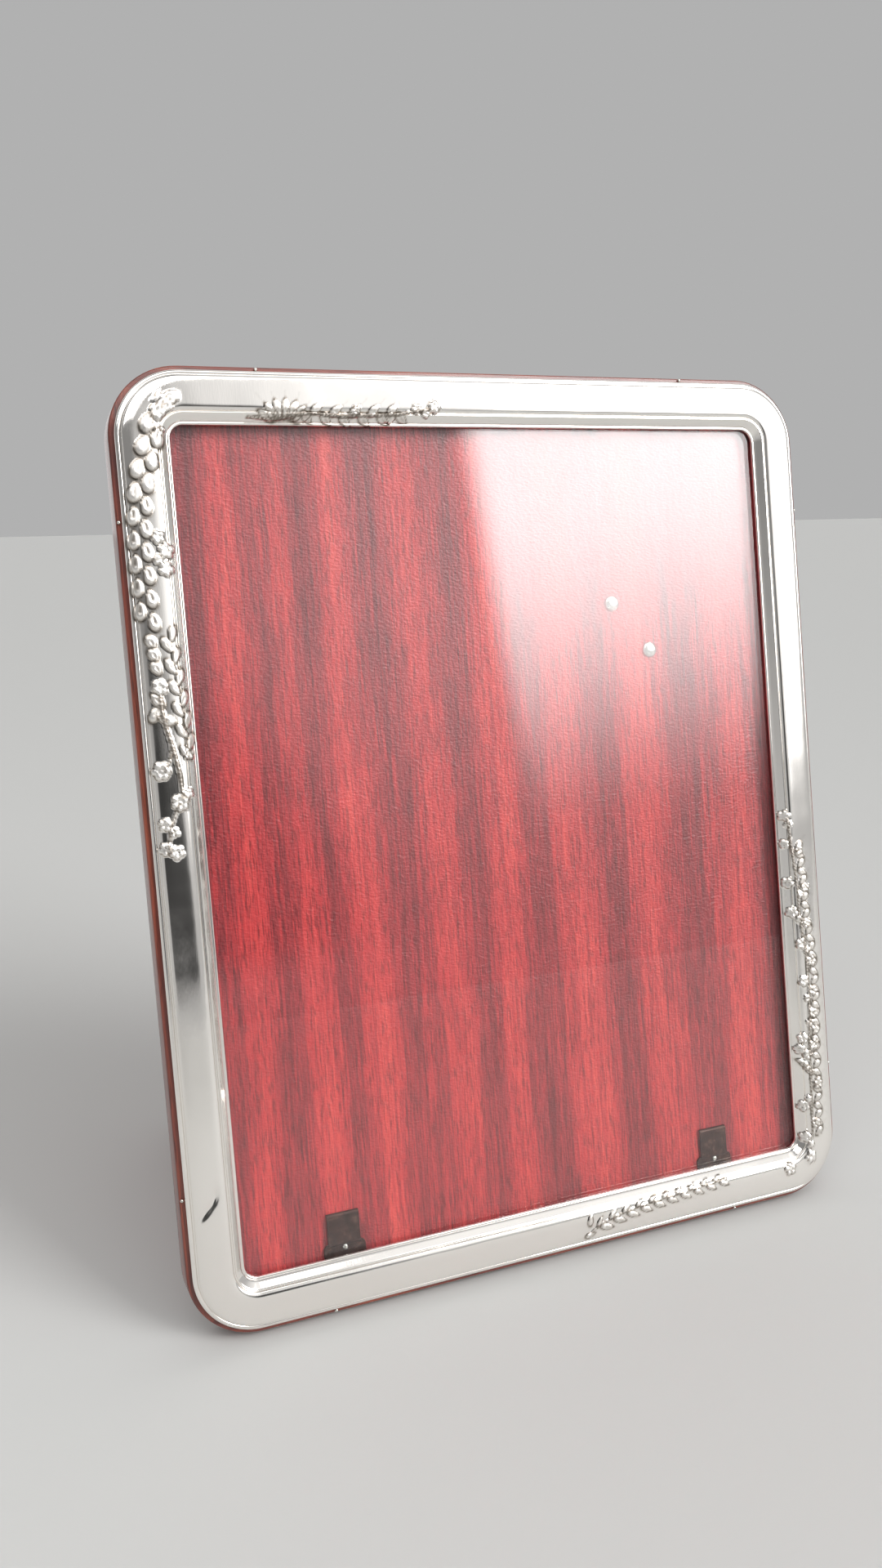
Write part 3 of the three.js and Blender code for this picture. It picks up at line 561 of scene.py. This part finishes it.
def chase(relief):
    """The sprays: a twin-leaf garland down the left rail with flowers under it, a trail of little
    flowers down the right rail, a leafy spray on the bottom rail and a flourish on the top one."""
    up = np.pi / 2
    # Garland of the left rail: two chains of round leaves, which swing out from the corner
    garland = rail_places("L", (121, 4.6), (115, 6.3), (110, 8.0), (104, 9.5), (97, 10.5),
                          (90, 11.1), (78, 11.2), (65, 10.9))
    for k, (x, y, angle) in enumerate(path_places(garland, 3.2)):
        side = 1.75 if k % 2 else -1.75
        length, width, vein = (5.3, 3.5, 0.5) if k < 7 else (4.9, 3.0, 0.9)
        relief.leaf(x - side * np.sin(angle), y + side * np.cos(angle),
                    angle + 0.12 * np.sign(side) + np.pi, length, width, 0.6, vein)
    # Flowers in the corner, and where a spur leaves the garland for the bevel
    for along, out, radius in (
            (128.5, -1.2, 1.9), (127.8, 2.2, 2.0), (126.0, 0.4, 1.7), (124.3, 3.3, 2.3),
            (119.5, 3.2, 1.6), (90.3, 6.2, 2.0), (86.6, 4.2, 2.3), (81.6, 4.6, 2.2),
            (84.2, 6.6, 1.5)):
        x, y = rail_place("L", along, out)
        relief.flower(x, y, x + y, radius, 0.6)
    # Slanted leaves that run down from the spur
    spur = rail_places("L", (64, 5.6), (54, 4.8), (44, 3.8), (29, 2.6))
    for k, (x, y, angle) in enumerate(path_places(spur, 3.0)):
        aside, slant = (-1.0, 0.5) if k % 2 else (1.0, -0.35)
        relief.leaf(x + aside, y, angle + slant, 4.6, 2.2, 0.5)
    # Buds, a curled leaf and a stem with flowers below the garland
    for x, y, angle in path_places(rail_places("L", (62, 10.6), (56, 9.9), (51, 9.4)), 3.6):
        relief.leaf(x, y, angle + 0.3, 3.9, 3.0, 0.6)
    relief.flower(*rail_place("L", 49.2, 9.3), 0.3, 2.2, 0.6, 6)
    for along, out, turn in ((45.6, 10.3, 0.7), (42.0, 11.3, -0.6), (40.2, 8.4, 1.2)):
        relief.leaf(*rail_place("L", along, out), up + turn, 4.8, 2.6, 0.6)
    relief.stem(1.1, 0.5, "L", (47, 9.4), (43, 9.4), (38, 8.6), (32, 7.2), (25, 6.0), (18, 5.8))
    relief.stem(0.8, 0.4, "L", (33, 7.6), (29, 8.4), (26, 10.4))
    relief.stem(0.8, 0.4, "L", (17, 6.9), (13, 8.8), (9, 10.2), (3, 11.0))
    relief.flowers("L", 0.6, (
        (26.2, 11.0, 2.6, 6), (17.1, 6.7, 2.5, 6), (19.6, 4.2, 1.6), (11.4, 11.3, 1.9),
        (9.0, 9.0, 1.3, 4), (4.6, 11.8, 1.9), (3.4, 8.9, 2.0), (30.5, 3.0, 1.8)))
    # Trail of the right rail: little flowers on both sides of a wavy stem, thicker towards its end
    trail = [(-8, 3.2), (-18, 4.0), (-30, 5.0), (-42, 5.4), (-56, 7.0), (-70, 7.2), (-84, 6.2),
             (-96, 5.8), (-108, 5.4), (-119, 5.0)]
    relief.stem(0.8, 0.42, "R", *trail)
    beside = rail_places("R", *((along, out + 2.7) for along, out in trail[1:]))
    for k, (x, y, angle) in enumerate(path_places(beside, 2.9)):
        relief.leaf(x, y, angle + (0.9 if k % 2 else -0.7), 3.7, 2.1, 0.5)
    relief.flowers("R", 0.62, (
        (-7.5, 2.4, 1.8), (-10.4, 3.4, 1.3), (-17.0, 1.9, 1.5), (-19.5, 6.6, 1.7),
        (-30.4, 2.2, 1.8), (-32.5, 8.3, 1.7), (-34.6, 6.4, 1.3), (-40.5, 3.0, 1.9),
        (-43.0, 5.2, 1.3), (-44.8, 8.1, 1.8), (-51.5, 5.4, 1.9), (-53.9, 7.2, 1.3),
        (-57.8, 9.0, 1.8), (-64.4, 5.5, 1.9), (-68.0, 8.9, 1.8), (-70.4, 6.6, 1.4),
        (-75.8, 8.4, 1.9), (-78.9, 6.8, 1.5), (-81.6, 8.9, 1.6), (-84.0, 3.9, 1.8),
        (-87.6, 2.6, 1.7), (-86.5, 7.8, 2.0), (-89.6, 5.2, 1.7), (-100.2, 8.6, 1.9),
        (-107.3, 2.8, 1.9), (-105.0, 4.6, 1.2), (-113.7, 6.8, 1.9), (-118.1, 2.7, 1.9),
        (-120.9, 4.4, 1.3), (-125.1, 3.8, 2.1)))
    for k in range(4):
        relief.leaf(*rail_place("R", -92.2 - 1.3 * k, 3.4 + 0.9 * k), -0.5, 3.9, 1.25, 0.6)
    relief.flower(*rail_place("B", 91.1, 6.0), 0.4, 2.2, 0.62)
    # Spray of the bottom rail: a bowed stem with small leaves slanting off both sides
    spray = [(14.5, 10.4), (17.5, 8.6), (24, 7.0), (33, 5.9), (45, 5.1), (66, 3.9)]
    relief.stem(0.6, 0.3, "B", *spray)
    for k, (x, y, angle) in enumerate(path_places(rail_places("B", *spray), 2.5)[1:]):
        side, size = (1, 1.0) if k % 2 else (-1, 0.75)
        size *= 1 - 0.25 * k / 21
        relief.leaf(x + 0.6, y - 1.6 * side * size, angle - 0.5 * side, 4.5 * size, 1.9 * size, 0.5)
    relief.leaf(*rail_place("B", 14.2, 6.6), up - 0.2, 3.4, 1.7, 0.45)
    relief.leaf(*rail_place("B", 13.8, 11.2), 0.2, 3.4, 1.5, 0.45)
    # Flourish of the top rail: a fan of leaves at its foot, a trailing stem and flowers at its tip
    x, y = rail_place("T", -63.5, 0.9)
    for angle in np.radians(np.arange(20, 174, 22)):
        relief.leaf(x + 5.8 * np.cos(angle), y + 3.4 * np.sin(angle), angle, 5.0, 2.2, 0.3)
    relief.stem(0.8, 0.35, "T", (-74.5, 2.2), (-66, 1.6), (-56, 3.2), (-46, 2.4), (-36, 2.8),
                (-28, 3.2), (-18, 4.9))
    trail = rail_places("T", (-57, 3.3), (-46, 2.4), (-36, 2.8), (-26, 3.4))
    for k, (x, y, angle) in enumerate(path_places(trail, 2.9)):
        aside, slant = (1.3, 0.7) if k % 2 else (-1.2, -0.7)
        relief.leaf(x, y + aside, angle + slant, 3.9, 2.1, 0.3)
    relief.flowers("T", 0.6, (
        (-42.0, 3.9, 1.5), (-31.5, 2.2, 1.6), (-23.0, 4.7, 1.7), (-17.5, 5.2, 2.0),
        (-20.2, 3.4, 1.3)))


front_ring = ring(silver_stations, np.c_[face, face[:, 0] + sight_radius])
relief = Relief(front_ring.reshape(-1, 3))
chase(relief)
lift = relief.height.reshape(front_ring.shape[:2])
# Under the chasing the groove is beaten full: its points rise to the line across it, all the way
# where the relief is full_groove high. Elsewhere the relief stands out along the face's normal
low, high = groove_out[0] - 0.25, groove_out[1] + 0.55
over_groove = (face[:, 0] > low) & (face[:, 0] < high)
filled = np.interp(face[:, 0], [low, high], np.interp([low, high], *face.T))
cover = np.clip(lift / full_groove, 0, 1)[:, over_groove]
front_ring[:, over_groove, 2] += cover * (filled - face[:, 1])[over_groove]
outwards = np.stack([np.cos(silver_stations[:, 2]), np.sin(silver_stations[:, 2])], -1)
sideways = lift * np.where(over_groove, 0.0, face_normal[:, 0])
front_ring[..., :2] += sideways[..., None] * outwards[:, None]
front_ring[..., 2] += lift * np.where(over_groove, 1.0, face_normal[:, 1])
# Two old knocks in the lower left of the cushion: a slanted dent and a smaller one beside it.
# Each is a bell, its width across the rail and its length along it, that leans as it runs up
for x, y, slant, width, length, depth in (
        (-105.4, -98.2, 0.7, 1.2, 2.4, 0.36), (-102.9, -94.6, 0.2, 0.8, 2.0, 0.38)):
    along = front_ring[..., 1] - y
    aside = front_ring[..., 0] - x - slant * along
    front_ring[..., 2] -= depth * np.exp(-(aside / width) ** 2 - (along / length) ** 2)
back_ring = ring(silver_stations, np.c_[back_line, back_line[:, 0] + sight_radius])
silver_mesh = closed_grid("moulding", np.concatenate([back_ring, front_ring[:, ::-1]], 1))
# The first attribute is the tarnish with painted shade of the chasing and the second its satin share; the back of
# the sheet takes neither
for name, values in (("tarnish_and_shade", relief.tarnish_and_shade.reshape(lift.shape)),
                     ("chased", np.clip(lift / full_satin, 0, 1))):
    values = np.concatenate([np.zeros(back_ring.shape[:2]), values[:, ::-1]], 1)
    attribute = silver_mesh.attributes.new(name, "FLOAT", "POINT")
    attribute.data.foreach_set("value", values.astype(np.float32).ravel())
piece("silver_moulding", silver_mesh, "frame", polished_silver, "silver_front")

# Brads: eight nickel-plated steel pins 6 mm long with tiny domed heads, driven through the rim of
# the silver into the ledge, two on each side.
brad_head, brad_height, brad_shank = 0.5, 0.45, 0.3


def worn_metal(name, cloud, shades, polish, bump, metallic=1.0, brushing=None):
    """A metal worn by handling. A cloudy noise, its settings by socket, runs the colour through
    the shades and the roughness through polish (noise from and to, roughness from and to). The
    bump (strength, distance) is the noise's too, or that of brushing, given by the scale and the
    turn of its streaks."""
    metal, tree = material_tree(name)
    place = add(tree, "ShaderNodeTexCoord").outputs["Object"]
    cloud = add(tree, "ShaderNodeTexNoise", {"Vector": place, **cloud}).outputs["Fac"]
    colour = add(tree, "ShaderNodeValToRGB", {"Fac": cloud}, stops=shades).outputs["Color"]
    low, high, start, end = polish
    roughness = add(tree, "ShaderNodeMapRange", {
        "Value": cloud, "From Min": low, "From Max": high,
        "To Min": start, "To Max": end}).outputs[0]
    height = streaks(tree, place, *brushing, Detail=2.0) if brushing else cloud
    strength, distance = bump
    normal = add(tree, "ShaderNodeBump", {
        "Height": height, "Strength": strength, "Distance": distance}).outputs[0]
    shader = add(tree, "ShaderNodeBsdfPrincipled", {
        "Base Color": colour, "Metallic": metallic, "Roughness": roughness, "Normal": normal})
    add(tree, "ShaderNodeOutputMaterial", {"Surface": shader.outputs[0]})
    return metal


# Nickel plate on turned steel: nearly white and bright, with faint handling marks 1 mm wide
nickelled_steel = worn_metal(
    "nickelled_steel", {"Scale": 900.0, "Detail": 4.0}, [(0.35, "#c9c6be"), (0.65, "#e2e0da")],
    (0.3, 0.7, 0.14, 0.3), (0.2, 0.00003))


def extents(node, local):
    """Lowest and highest corner of a node's solid on a local frame's own axes, in millimetres."""
    points = np.array([v.co for v in frame["nodes"][node].data.vertices])
    at = moved(points, local.inverted()) * 1000
    return at.min(0), at.max(0)


def turned(name, profile, local, steps=32):
    """A mesh turned on a local frame's z axis: the profile (radius, height), from the bottom up,
    is carried round in equal steps and its two poles are closed."""
    angle = np.arange(steps) * 2 * np.pi / steps
    radius, height = np.array(profile, float).T
    points = np.stack([np.outer(np.cos(angle), radius), np.outer(np.sin(angle), radius),
                       np.broadcast_to(height, (steps, len(height)))], -1).reshape(-1, 3) / 1000
    points = moved(points, local)
    here = np.arange(steps * len(radius)).reshape(steps, -1)
    ahead = np.roll(here, -1, 0)
    quads = np.stack([here[:, :-1], ahead[:, :-1], ahead[:, 1:], here[:, 1:]], -1).reshape(-1, 4)
    mesh = bpy.data.meshes.new(name)
    mesh.from_pydata(points.tolist(), [], quads.tolist())
    solid = bmesh.new()
    solid.from_mesh(mesh)
    bmesh.ops.remove_doubles(solid, verts=solid.verts, dist=1e-7)
    solid.to_mesh(mesh)
    solid.free()
    mesh.shade_smooth()
    mesh.set_sharp_from_angle(angle=np.radians(40))
    return mesh


def domed_head(radius, seat, height, way=1):
    """Profile of a rivet head from its seat to its pole: a short upright rim, then a flat dome."""
    bend = np.radians(np.linspace(0, 90, 9))
    return [(radius * np.cos(a), seat + way * height * (0.15 + 0.85 * np.sin(a))) for a in bend]


def nail(point, seat, shank):
    """Profile of a nail from its point, which tapers over 1 mm, up to the seat of its head."""
    return [(0, point), (shank * 0.6, point + 0.5), (shank, point + 1), (shank, seat)]


for number in range(1, 9):
    node = f"brad_{number}"
    low, high = extents(node, board)
    at = board @ Matrix.Translation(Vector((*((low + high) / 2)[:2], 0)) / 1000)
    seat = high[2] - brad_height
    pin = [*nail(low[2], seat, brad_shank), (brad_head, seat),
           *domed_head(brad_head, seat, brad_height)]
    piece(f"rim_pin_{number}", turned(node, pin, at, 16), "frame",
          nickelled_steel, node)

# Glass: clear float glass 1.8 mm thick, loose in the rebate. Lamps shine through it, so shadow
# rays pass it as if it were not there.
float_glass, tree = material_tree("float_glass")
pane = add(tree, "ShaderNodeBsdfPrincipled", {
    "Base Color": linear("#fbfbfb"), "Transmission Weight": 1.0, "Roughness": 0.0, "IOR": 1.5})
through = add(tree, "ShaderNodeBsdfTransparent")
shadow = add(tree, "ShaderNodeLightPath").outputs["Is Shadow Ray"]
mixed = add(tree, "ShaderNodeMixShader", {0: shadow, 1: pane.outputs[0], 2: through.outputs[0]})
add(tree, "ShaderNodeOutputMaterial", {"Surface": mixed.outputs[0]})
glass = frame["nodes"]["glass_pane"].data
glass.materials.clear()
glass.materials.append(float_glass)

# Back panel: a board 4.5 mm thick faced on both sides with red mahogany, whose quarter-sawn
# ribbon figure runs up it in light and dark stripes, under a glossy film with a fine pebble.
lean = np.radians(12.2)
ribbon_mahogany, tree = material_tree("ribbon_mahogany")
# The figure runs up the panel, so the place is turned back by the panel's lean
place = add(tree, "ShaderNodeTexCoord").outputs["Object"]
flat_place = add(tree, "ShaderNodeMapping", {
    "Vector": place, "Rotation": (lean, 0, 0)}).outputs[0]
axes = add(tree, "ShaderNodeSeparateXYZ", {0: flat_place}).outputs
# Ribbons: the stripe number is first + pace x + spread x squared (x in metres), so the stripes are
# some 17 mm apart at the left edge and 40 mm at the right, nudged by a noise 35 mm wide
stripe_first, stripe_pace, stripe_spread = 3.8, 41.43, -85.5
wander = streaks(tree, flat_place, (28, 28, 5), Detail=3.0)
number = add(tree, "ShaderNodeMath", {
    0: axes["X"], 1: stripe_spread, 2: stripe_pace}, operation="MULTIPLY_ADD").outputs[0]
number = add(tree, "ShaderNodeMath", {
    0: number, 1: axes["X"], 2: stripe_first}, operation="MULTIPLY_ADD").outputs[0]
number = add(tree, "ShaderNodeMath", {
    0: wander, 1: 0.7, 2: number}, operation="MULTIPLY_ADD").outputs[0]
figure = add(tree, "ShaderNodeMath", {0: number, 1: 2 * np.pi}, operation="MULTIPLY").outputs[0]
figure = add(tree, "ShaderNodeMath", {0: figure}, operation="COSINE").outputs[0]
figure = add(tree, "ShaderNodeMath", {
    0: figure, 1: 0.17, 2: 0.51}, operation="MULTIPLY_ADD").outputs[0]
# Bands 9 mm wide, streaks 2.6 mm wide and 70 mm long, and fibres 0.7 mm wide and 20 mm long
for scale, share in (((110, 110, 5), 0.5), ((380, 380, 14), 0.35), ((1500, 1500, 50), 1.0)):
    layer = streaks(tree, flat_place, scale, Detail=2.0, Roughness=0.55)
    layer = add(tree, "ShaderNodeMath", {0: layer, 1: 0.5}, operation="SUBTRACT").outputs[0]
    figure = add(tree, "ShaderNodeMath", {
        0: layer, 1: share, 2: figure}, operation="MULTIPLY_ADD").outputs[0]
red_wood = add(tree, "ShaderNodeValToRGB", {"Fac": figure}, stops=[
    (0.15, "#6c2226"), (0.40, "#922e32"), (0.60, "#b43436"), (0.85, "#cc4743")]).outputs["Color"]
# Pores: dark dashes 0.4 mm wide and 4 mm long
pores = streaks(tree, flat_place, (2500, 2500, 230), Detail=1.0)
pores = add(tree, "ShaderNodeMapRange", {
    "Value": pores, "From Min": 0.52, "From Max": 0.66, "To Max": 0.55}).outputs[0]
panel_colour = add(tree, "ShaderNodeMix", {
    "Factor": pores, "A": red_wood, "B": linear("#4a1518")}, data_type="RGBA").outputs[2]
# Film: slow ripples some 40 mm from crest to crest, under a pebble 1.2 mm wide and 0.7 mm high
ripple = streaks(tree, flat_place, (26, 26, 14), Detail=1.0)
ripple_bump = add(tree, "ShaderNodeBump", {
    "Height": ripple, "Strength": 1.0, "Distance": 0.0006}).outputs[0]
pebble = streaks(tree, flat_place, (850, 850, 1500), Detail=1.5, Roughness=0.5)
pebble_bump = add(tree, "ShaderNodeBump", {
    "Height": pebble, "Normal": ripple_bump, "Strength": 0.9, "Distance": 0.00022}).outputs[0]
panel_shader = add(tree, "ShaderNodeBsdfPrincipled", {
    "Base Color": panel_colour, "Roughness": 0.3, "IOR": 1.5, "Normal": pebble_bump})
add(tree, "ShaderNodeOutputMaterial", {"Surface": panel_shader.outputs[0]})


def eased(node, width, steps=2):
    """Mesh of a node's solid with its loose triangles merged, its flat faces joined and its sharp
    edges eased by a width in millimetres."""
    solid = bmesh.new()
    solid.from_mesh(frame["nodes"][node].data)
    bmesh.ops.remove_doubles(solid, verts=solid.verts, dist=2e-6)
    bmesh.ops.dissolve_limit(solid, angle_limit=np.radians(1), verts=solid.verts, edges=solid.edges)
    mesh = bpy.data.meshes.new(node)
    solid.to_mesh(mesh)
    solid.free()
    mesh.shade_smooth()
    blank = put("blank", mesh)
    bevel = blank.modifiers.new("eased_edges", "BEVEL")
    bevel.width, bevel.segments = width / 1000, steps
    bevel.limit_method, bevel.angle_limit = "ANGLE", np.radians(30)
    even = blank.modifiers.new("even_normals", "WEIGHTED_NORMAL")
    even.mode, even.weight = "FACE_AREA", 100
    return applied(blank)


piece("ribbon_board", eased("back_panel", 0.5, 3), "panel", ribbon_mahogany,
      "back_panel")

# Retaining tongues: two stampings of bronzed spring steel riveted to the foot of the panel. Their
# toes sit in slots of the lower rail, so that the panel tips out on them. The bronzing is dark
# brown and satin, rubbed paler in patches 2.4 mm wide.
bronzed_steel = worn_metal(
    "bronzed_steel", {"Scale": 420.0, "Detail": 5.0, "Roughness": 0.65},
    [(0.32, "#3c2b27"), (0.55, "#4e3933"), (0.72, "#72584b")],
    (0.3, 0.7, 0.5, 0.34), (0.25, 0.00004), metallic=0.9)


def rivet(node, head, height, shank, local, steps=32):
    """A turned rivet with two domed heads on a local frame's z axis, as long as the node's solid.
    Head and shank are given by their radii."""
    low, high = extents(node, local)
    at = local @ Matrix.Translation(Vector((*((low + high) / 2)[:2], 0)) / 1000)
    under, over = low[2] + height, high[2] - height
    profile = [*reversed(domed_head(head, under, height, -1)), (head, under), (shank, under),
               (shank, over), (head, over), *domed_head(head, over, height)]
    return turned(node, profile, at, steps)


for word in ("left", "right"):
    piece(f"slotted_tongue_{word}", eased(f"tongue_{word}", 0.15), "panel",
          bronzed_steel, f"tongue_{word}")
    piece(f"tongue_stud_{word}", rivet(f"tongue_rivet_{word}", 0.85, 0.35, 0.5, board, 20),
          "panel", nickelled_steel, f"tongue_rivet_{word}")

# Spring catch: a bowed strip of bronzed steel along the top edge of the panel, held by one pin in
# the middle. Its two crowns grip the frame when the panel is pushed home.
piece("bowed_catch", eased("catch_spring", 0.1), "panel", bronzed_steel,
      "catch_spring")
nail_head, nail_height, nail_shank = 1.1, 0.5, 0.5
low, high = extents("catch_pin", board)
nail_top = Vector((0, high[1], (low[2] + high[2]) / 2)) / 1000
nail_frame = board @ Matrix.Translation(nail_top) @ Matrix.Rotation(-np.pi / 2, 4, "X")
catch_nail = [*nail(low[1] - high[1], -nail_height, nail_shank),
              *domed_head(nail_head, -nail_height, nail_height)]
piece("catch_nail", turned("catch_nail", catch_nail, nail_frame, 24), "panel",
      nickelled_steel, "catch_pin")

# Hinge bracket: a plate of satin brass with two ears, held to the panel by two rivets whose broad
# heads show on the panel's inner face. The hinge pin runs through the ears. The brass is brushed in
# lines 0.3 mm wide and 5 mm long, and tarnished in clouds 6 mm wide.
aged_brass = worn_metal(
    "aged_brass", {"Scale": 160.0, "Detail": 6.0, "Roughness": 0.6},
    [(0.35, "#8a6a38"), (0.52, "#b5924f"), (0.70, "#caa964")],
    (0.35, 0.7, 0.45, 0.28), (0.3, 0.00003), brushing=((3000, 200, 3000), (0.2, 0.9, 0.4)))

# The hinge's frame is turned on the board to the pin's skew, and the strut stands open about it
hinge_turn = np.radians(-140.7)
open_angle = np.radians(29)
strut_joint = next(j for j in frame["joints"] if j["name"] == "strut_fold")
hinge_frame = board.to_3x3().to_4x4() @ Matrix.Rotation(hinge_turn, 4, "Z")
hinge_frame.translation = Vector(strut_joint["pos_m"])
strut_frame = hinge_frame @ Matrix.Rotation(open_angle, 4, "Y")
piece("eared_bracket", eased("hinge_bracket", 0.25), "panel", aged_brass,
      "hinge_bracket")
for word in ("upper", "lower"):
    piece(f"bracket_rivet_{word}", rivet(f"hinge_rivet_{word}", 2.5, 0.9, 1.5, hinge_frame),
          "panel", nickelled_steel, f"hinge_rivet_{word}")
pin_frame = hinge_frame @ Matrix.Rotation(-np.pi / 2, 4, "X")
piece("ear_pin", rivet("hinge_pin", 2.2, 0.9, 1.2, pin_frame), "panel",
      nickelled_steel, "hinge_pin")

# Strut: a flared leg of the same lacquered mahogany, 4 mm thick, in a brass shoe that turns on the
# hinge pin. Two rivets clamp it, and the shoe's heel stops it against the bracket. Its grain runs
# along the leg, which leaves the hinge at a skew.
strut_skew = np.radians(12.3)
strut_mesh = eased("strut", 0.7, 3)
set_grain(strut_mesh, strut_frame.inverted(), along=(np.cos(strut_skew), np.sin(strut_skew), 0))
piece("flared_leg", strut_mesh, "strut", lacquered_mahogany, "strut")
piece("heeled_shoe", eased("strut_shoe", 0.25), "strut", aged_brass, "strut_shoe")
for word in ("left", "right"):
    piece(f"shoe_rivet_{word}", rivet(f"strut_rivet_{word}", 2.3, 0.8, 1.2, strut_frame),
          "strut", nickelled_steel, f"strut_rivet_{word}")

# Studio: a plain pale paper floor, and a soft lamp above and in front.
floor_mesh = bpy.data.meshes.new("studio_floor")
floor_mesh.from_pydata([(-4, -4, 0), (4, -4, 0), (4, 4, 0), (-4, 4, 0)], [], [(0, 1, 2, 3)])
studio_paper, tree = material_tree("studio_paper")
paper = add(tree, "ShaderNodeBsdfPrincipled", {"Base Color": linear("#c8c8c6"), "Roughness": 0.8})
add(tree, "ShaderNodeOutputMaterial", {"Surface": paper.outputs[0]})
floor_mesh.materials.append(studio_paper)
put("studio_floor", floor_mesh)

softbox = bpy.data.lights.new("top_lamp", "AREA")
softbox.shape, softbox.size, softbox.size_y, softbox.energy = "RECTANGLE", 0.8, 0.6, 2.8
lamp = put("top_lamp", softbox)
lamp.location = (-0.25, -0.5, 0.9)
lamp_aim = Vector((0, 0, 0.2)) - lamp.location
lamp.rotation_euler = lamp_aim.to_track_quat("-Z", "Y").to_euler()

# The room round the studio: soft walls, a ceiling that is bright on the right, a dim patch low in
# front of the frame where it would mirror the camera, one large window on the right whose lower
# edge fades out, and a bright wall behind. The camera itself sees a plain pale backdrop.
backdrop = 0.55
world = bpy.data.worlds.new("studio_room")
world.use_nodes = True
tree = world.node_tree
tree.nodes.clear()
heading = add(tree, "ShaderNodeTexCoord").outputs["Generated"]


def towards(azimuth, elevation):
    """How far a ray heads towards a direction, from -1 to 1. The azimuth is 0 in front of the frame
    and turns to its right, in degrees."""
    a, e = np.radians((azimuth, elevation))
    aim = (np.sin(a) * np.cos(e), -np.cos(a) * np.cos(e), np.sin(e))
    return add(tree, "ShaderNodeVectorMath", {
        0: heading, 1: aim}, operation="DOT_PRODUCT").outputs["Value"]


def fade(value, low, high, bottom=0.0, top=1.0):
    """A smooth change from bottom to top while the value goes from low to high."""
    return add(tree, "ShaderNodeMapRange", {
        "Value": value, "From Min": low, "From Max": high, "To Min": bottom, "To Max": top},
        interpolation_type="SMOOTHSTEP").outputs[0]


def joined(operation, first, *others):
    """The values joined one after another by an operation such as MULTIPLY or ADD."""
    for other in others:
        first = add(tree, "ShaderNodeMath", {0: first, 1: other}, operation=operation).outputs[0]
    return first


upward = towards(0, 90)
walls = fade(upward, 0.0, 0.35, 0.62, 0.3)
ceiling = joined("MULTIPLY", fade(upward, 0.02, 0.3), fade(towards(5, 30), 0.35, 0.9, 0.25, 1.1),
                 fade(towards(90, 0), 0.04, 0.32))
patch = joined("MULTIPLY", fade(towards(0, 0), 0.93, 0.985), fade(upward, -0.01, 0.05))
undimmed = fade(patch, 0.0, 1.0, 1.0, 0.12)
window = joined("MULTIPLY", fade(towards(114.5, 0), 0.0, 0.03), fade(towards(-30, 0), 0.0, 0.2),
                fade(upward, 0.08, 0.36), fade(upward, 0.85, 0.65), 10.5)
wall_behind = fade(towards(180, 15), 0.2, 0.7, 0.0, 0.6)
glow = joined("MULTIPLY", joined("ADD", walls, ceiling), undimmed)
glow = joined("ADD", glow, window, wall_behind)
seen = add(tree, "ShaderNodeLightPath").outputs["Is Camera Ray"]
glow = add(tree, "ShaderNodeMix", {"Factor": seen, "A": glow, "B": backdrop}).outputs[0]
room = add(tree, "ShaderNodeBackground", {"Strength": glow})
add(tree, "ShaderNodeOutputWorld", {"Surface": room.outputs[0]})
bpy.context.scene.world = world

# Camera: where the photograph was taken from, as the corners of the picture opening give it.
lens = bpy.data.cameras.new("camera")
lens.sensor_width, lens.lens = 36.0, 28.637
lens.clip_start, lens.clip_end = 0.01, 50
camera = put("camera", lens)
camera.location = (-0.16018, -0.37078, 0.24652)
camera.rotation_euler = Euler(np.radians((90 - 14.61, 0, -21.95)))
bpy.context.scene.camera = camera
bpy.context.scene.view_settings.view_transform = "Standard"
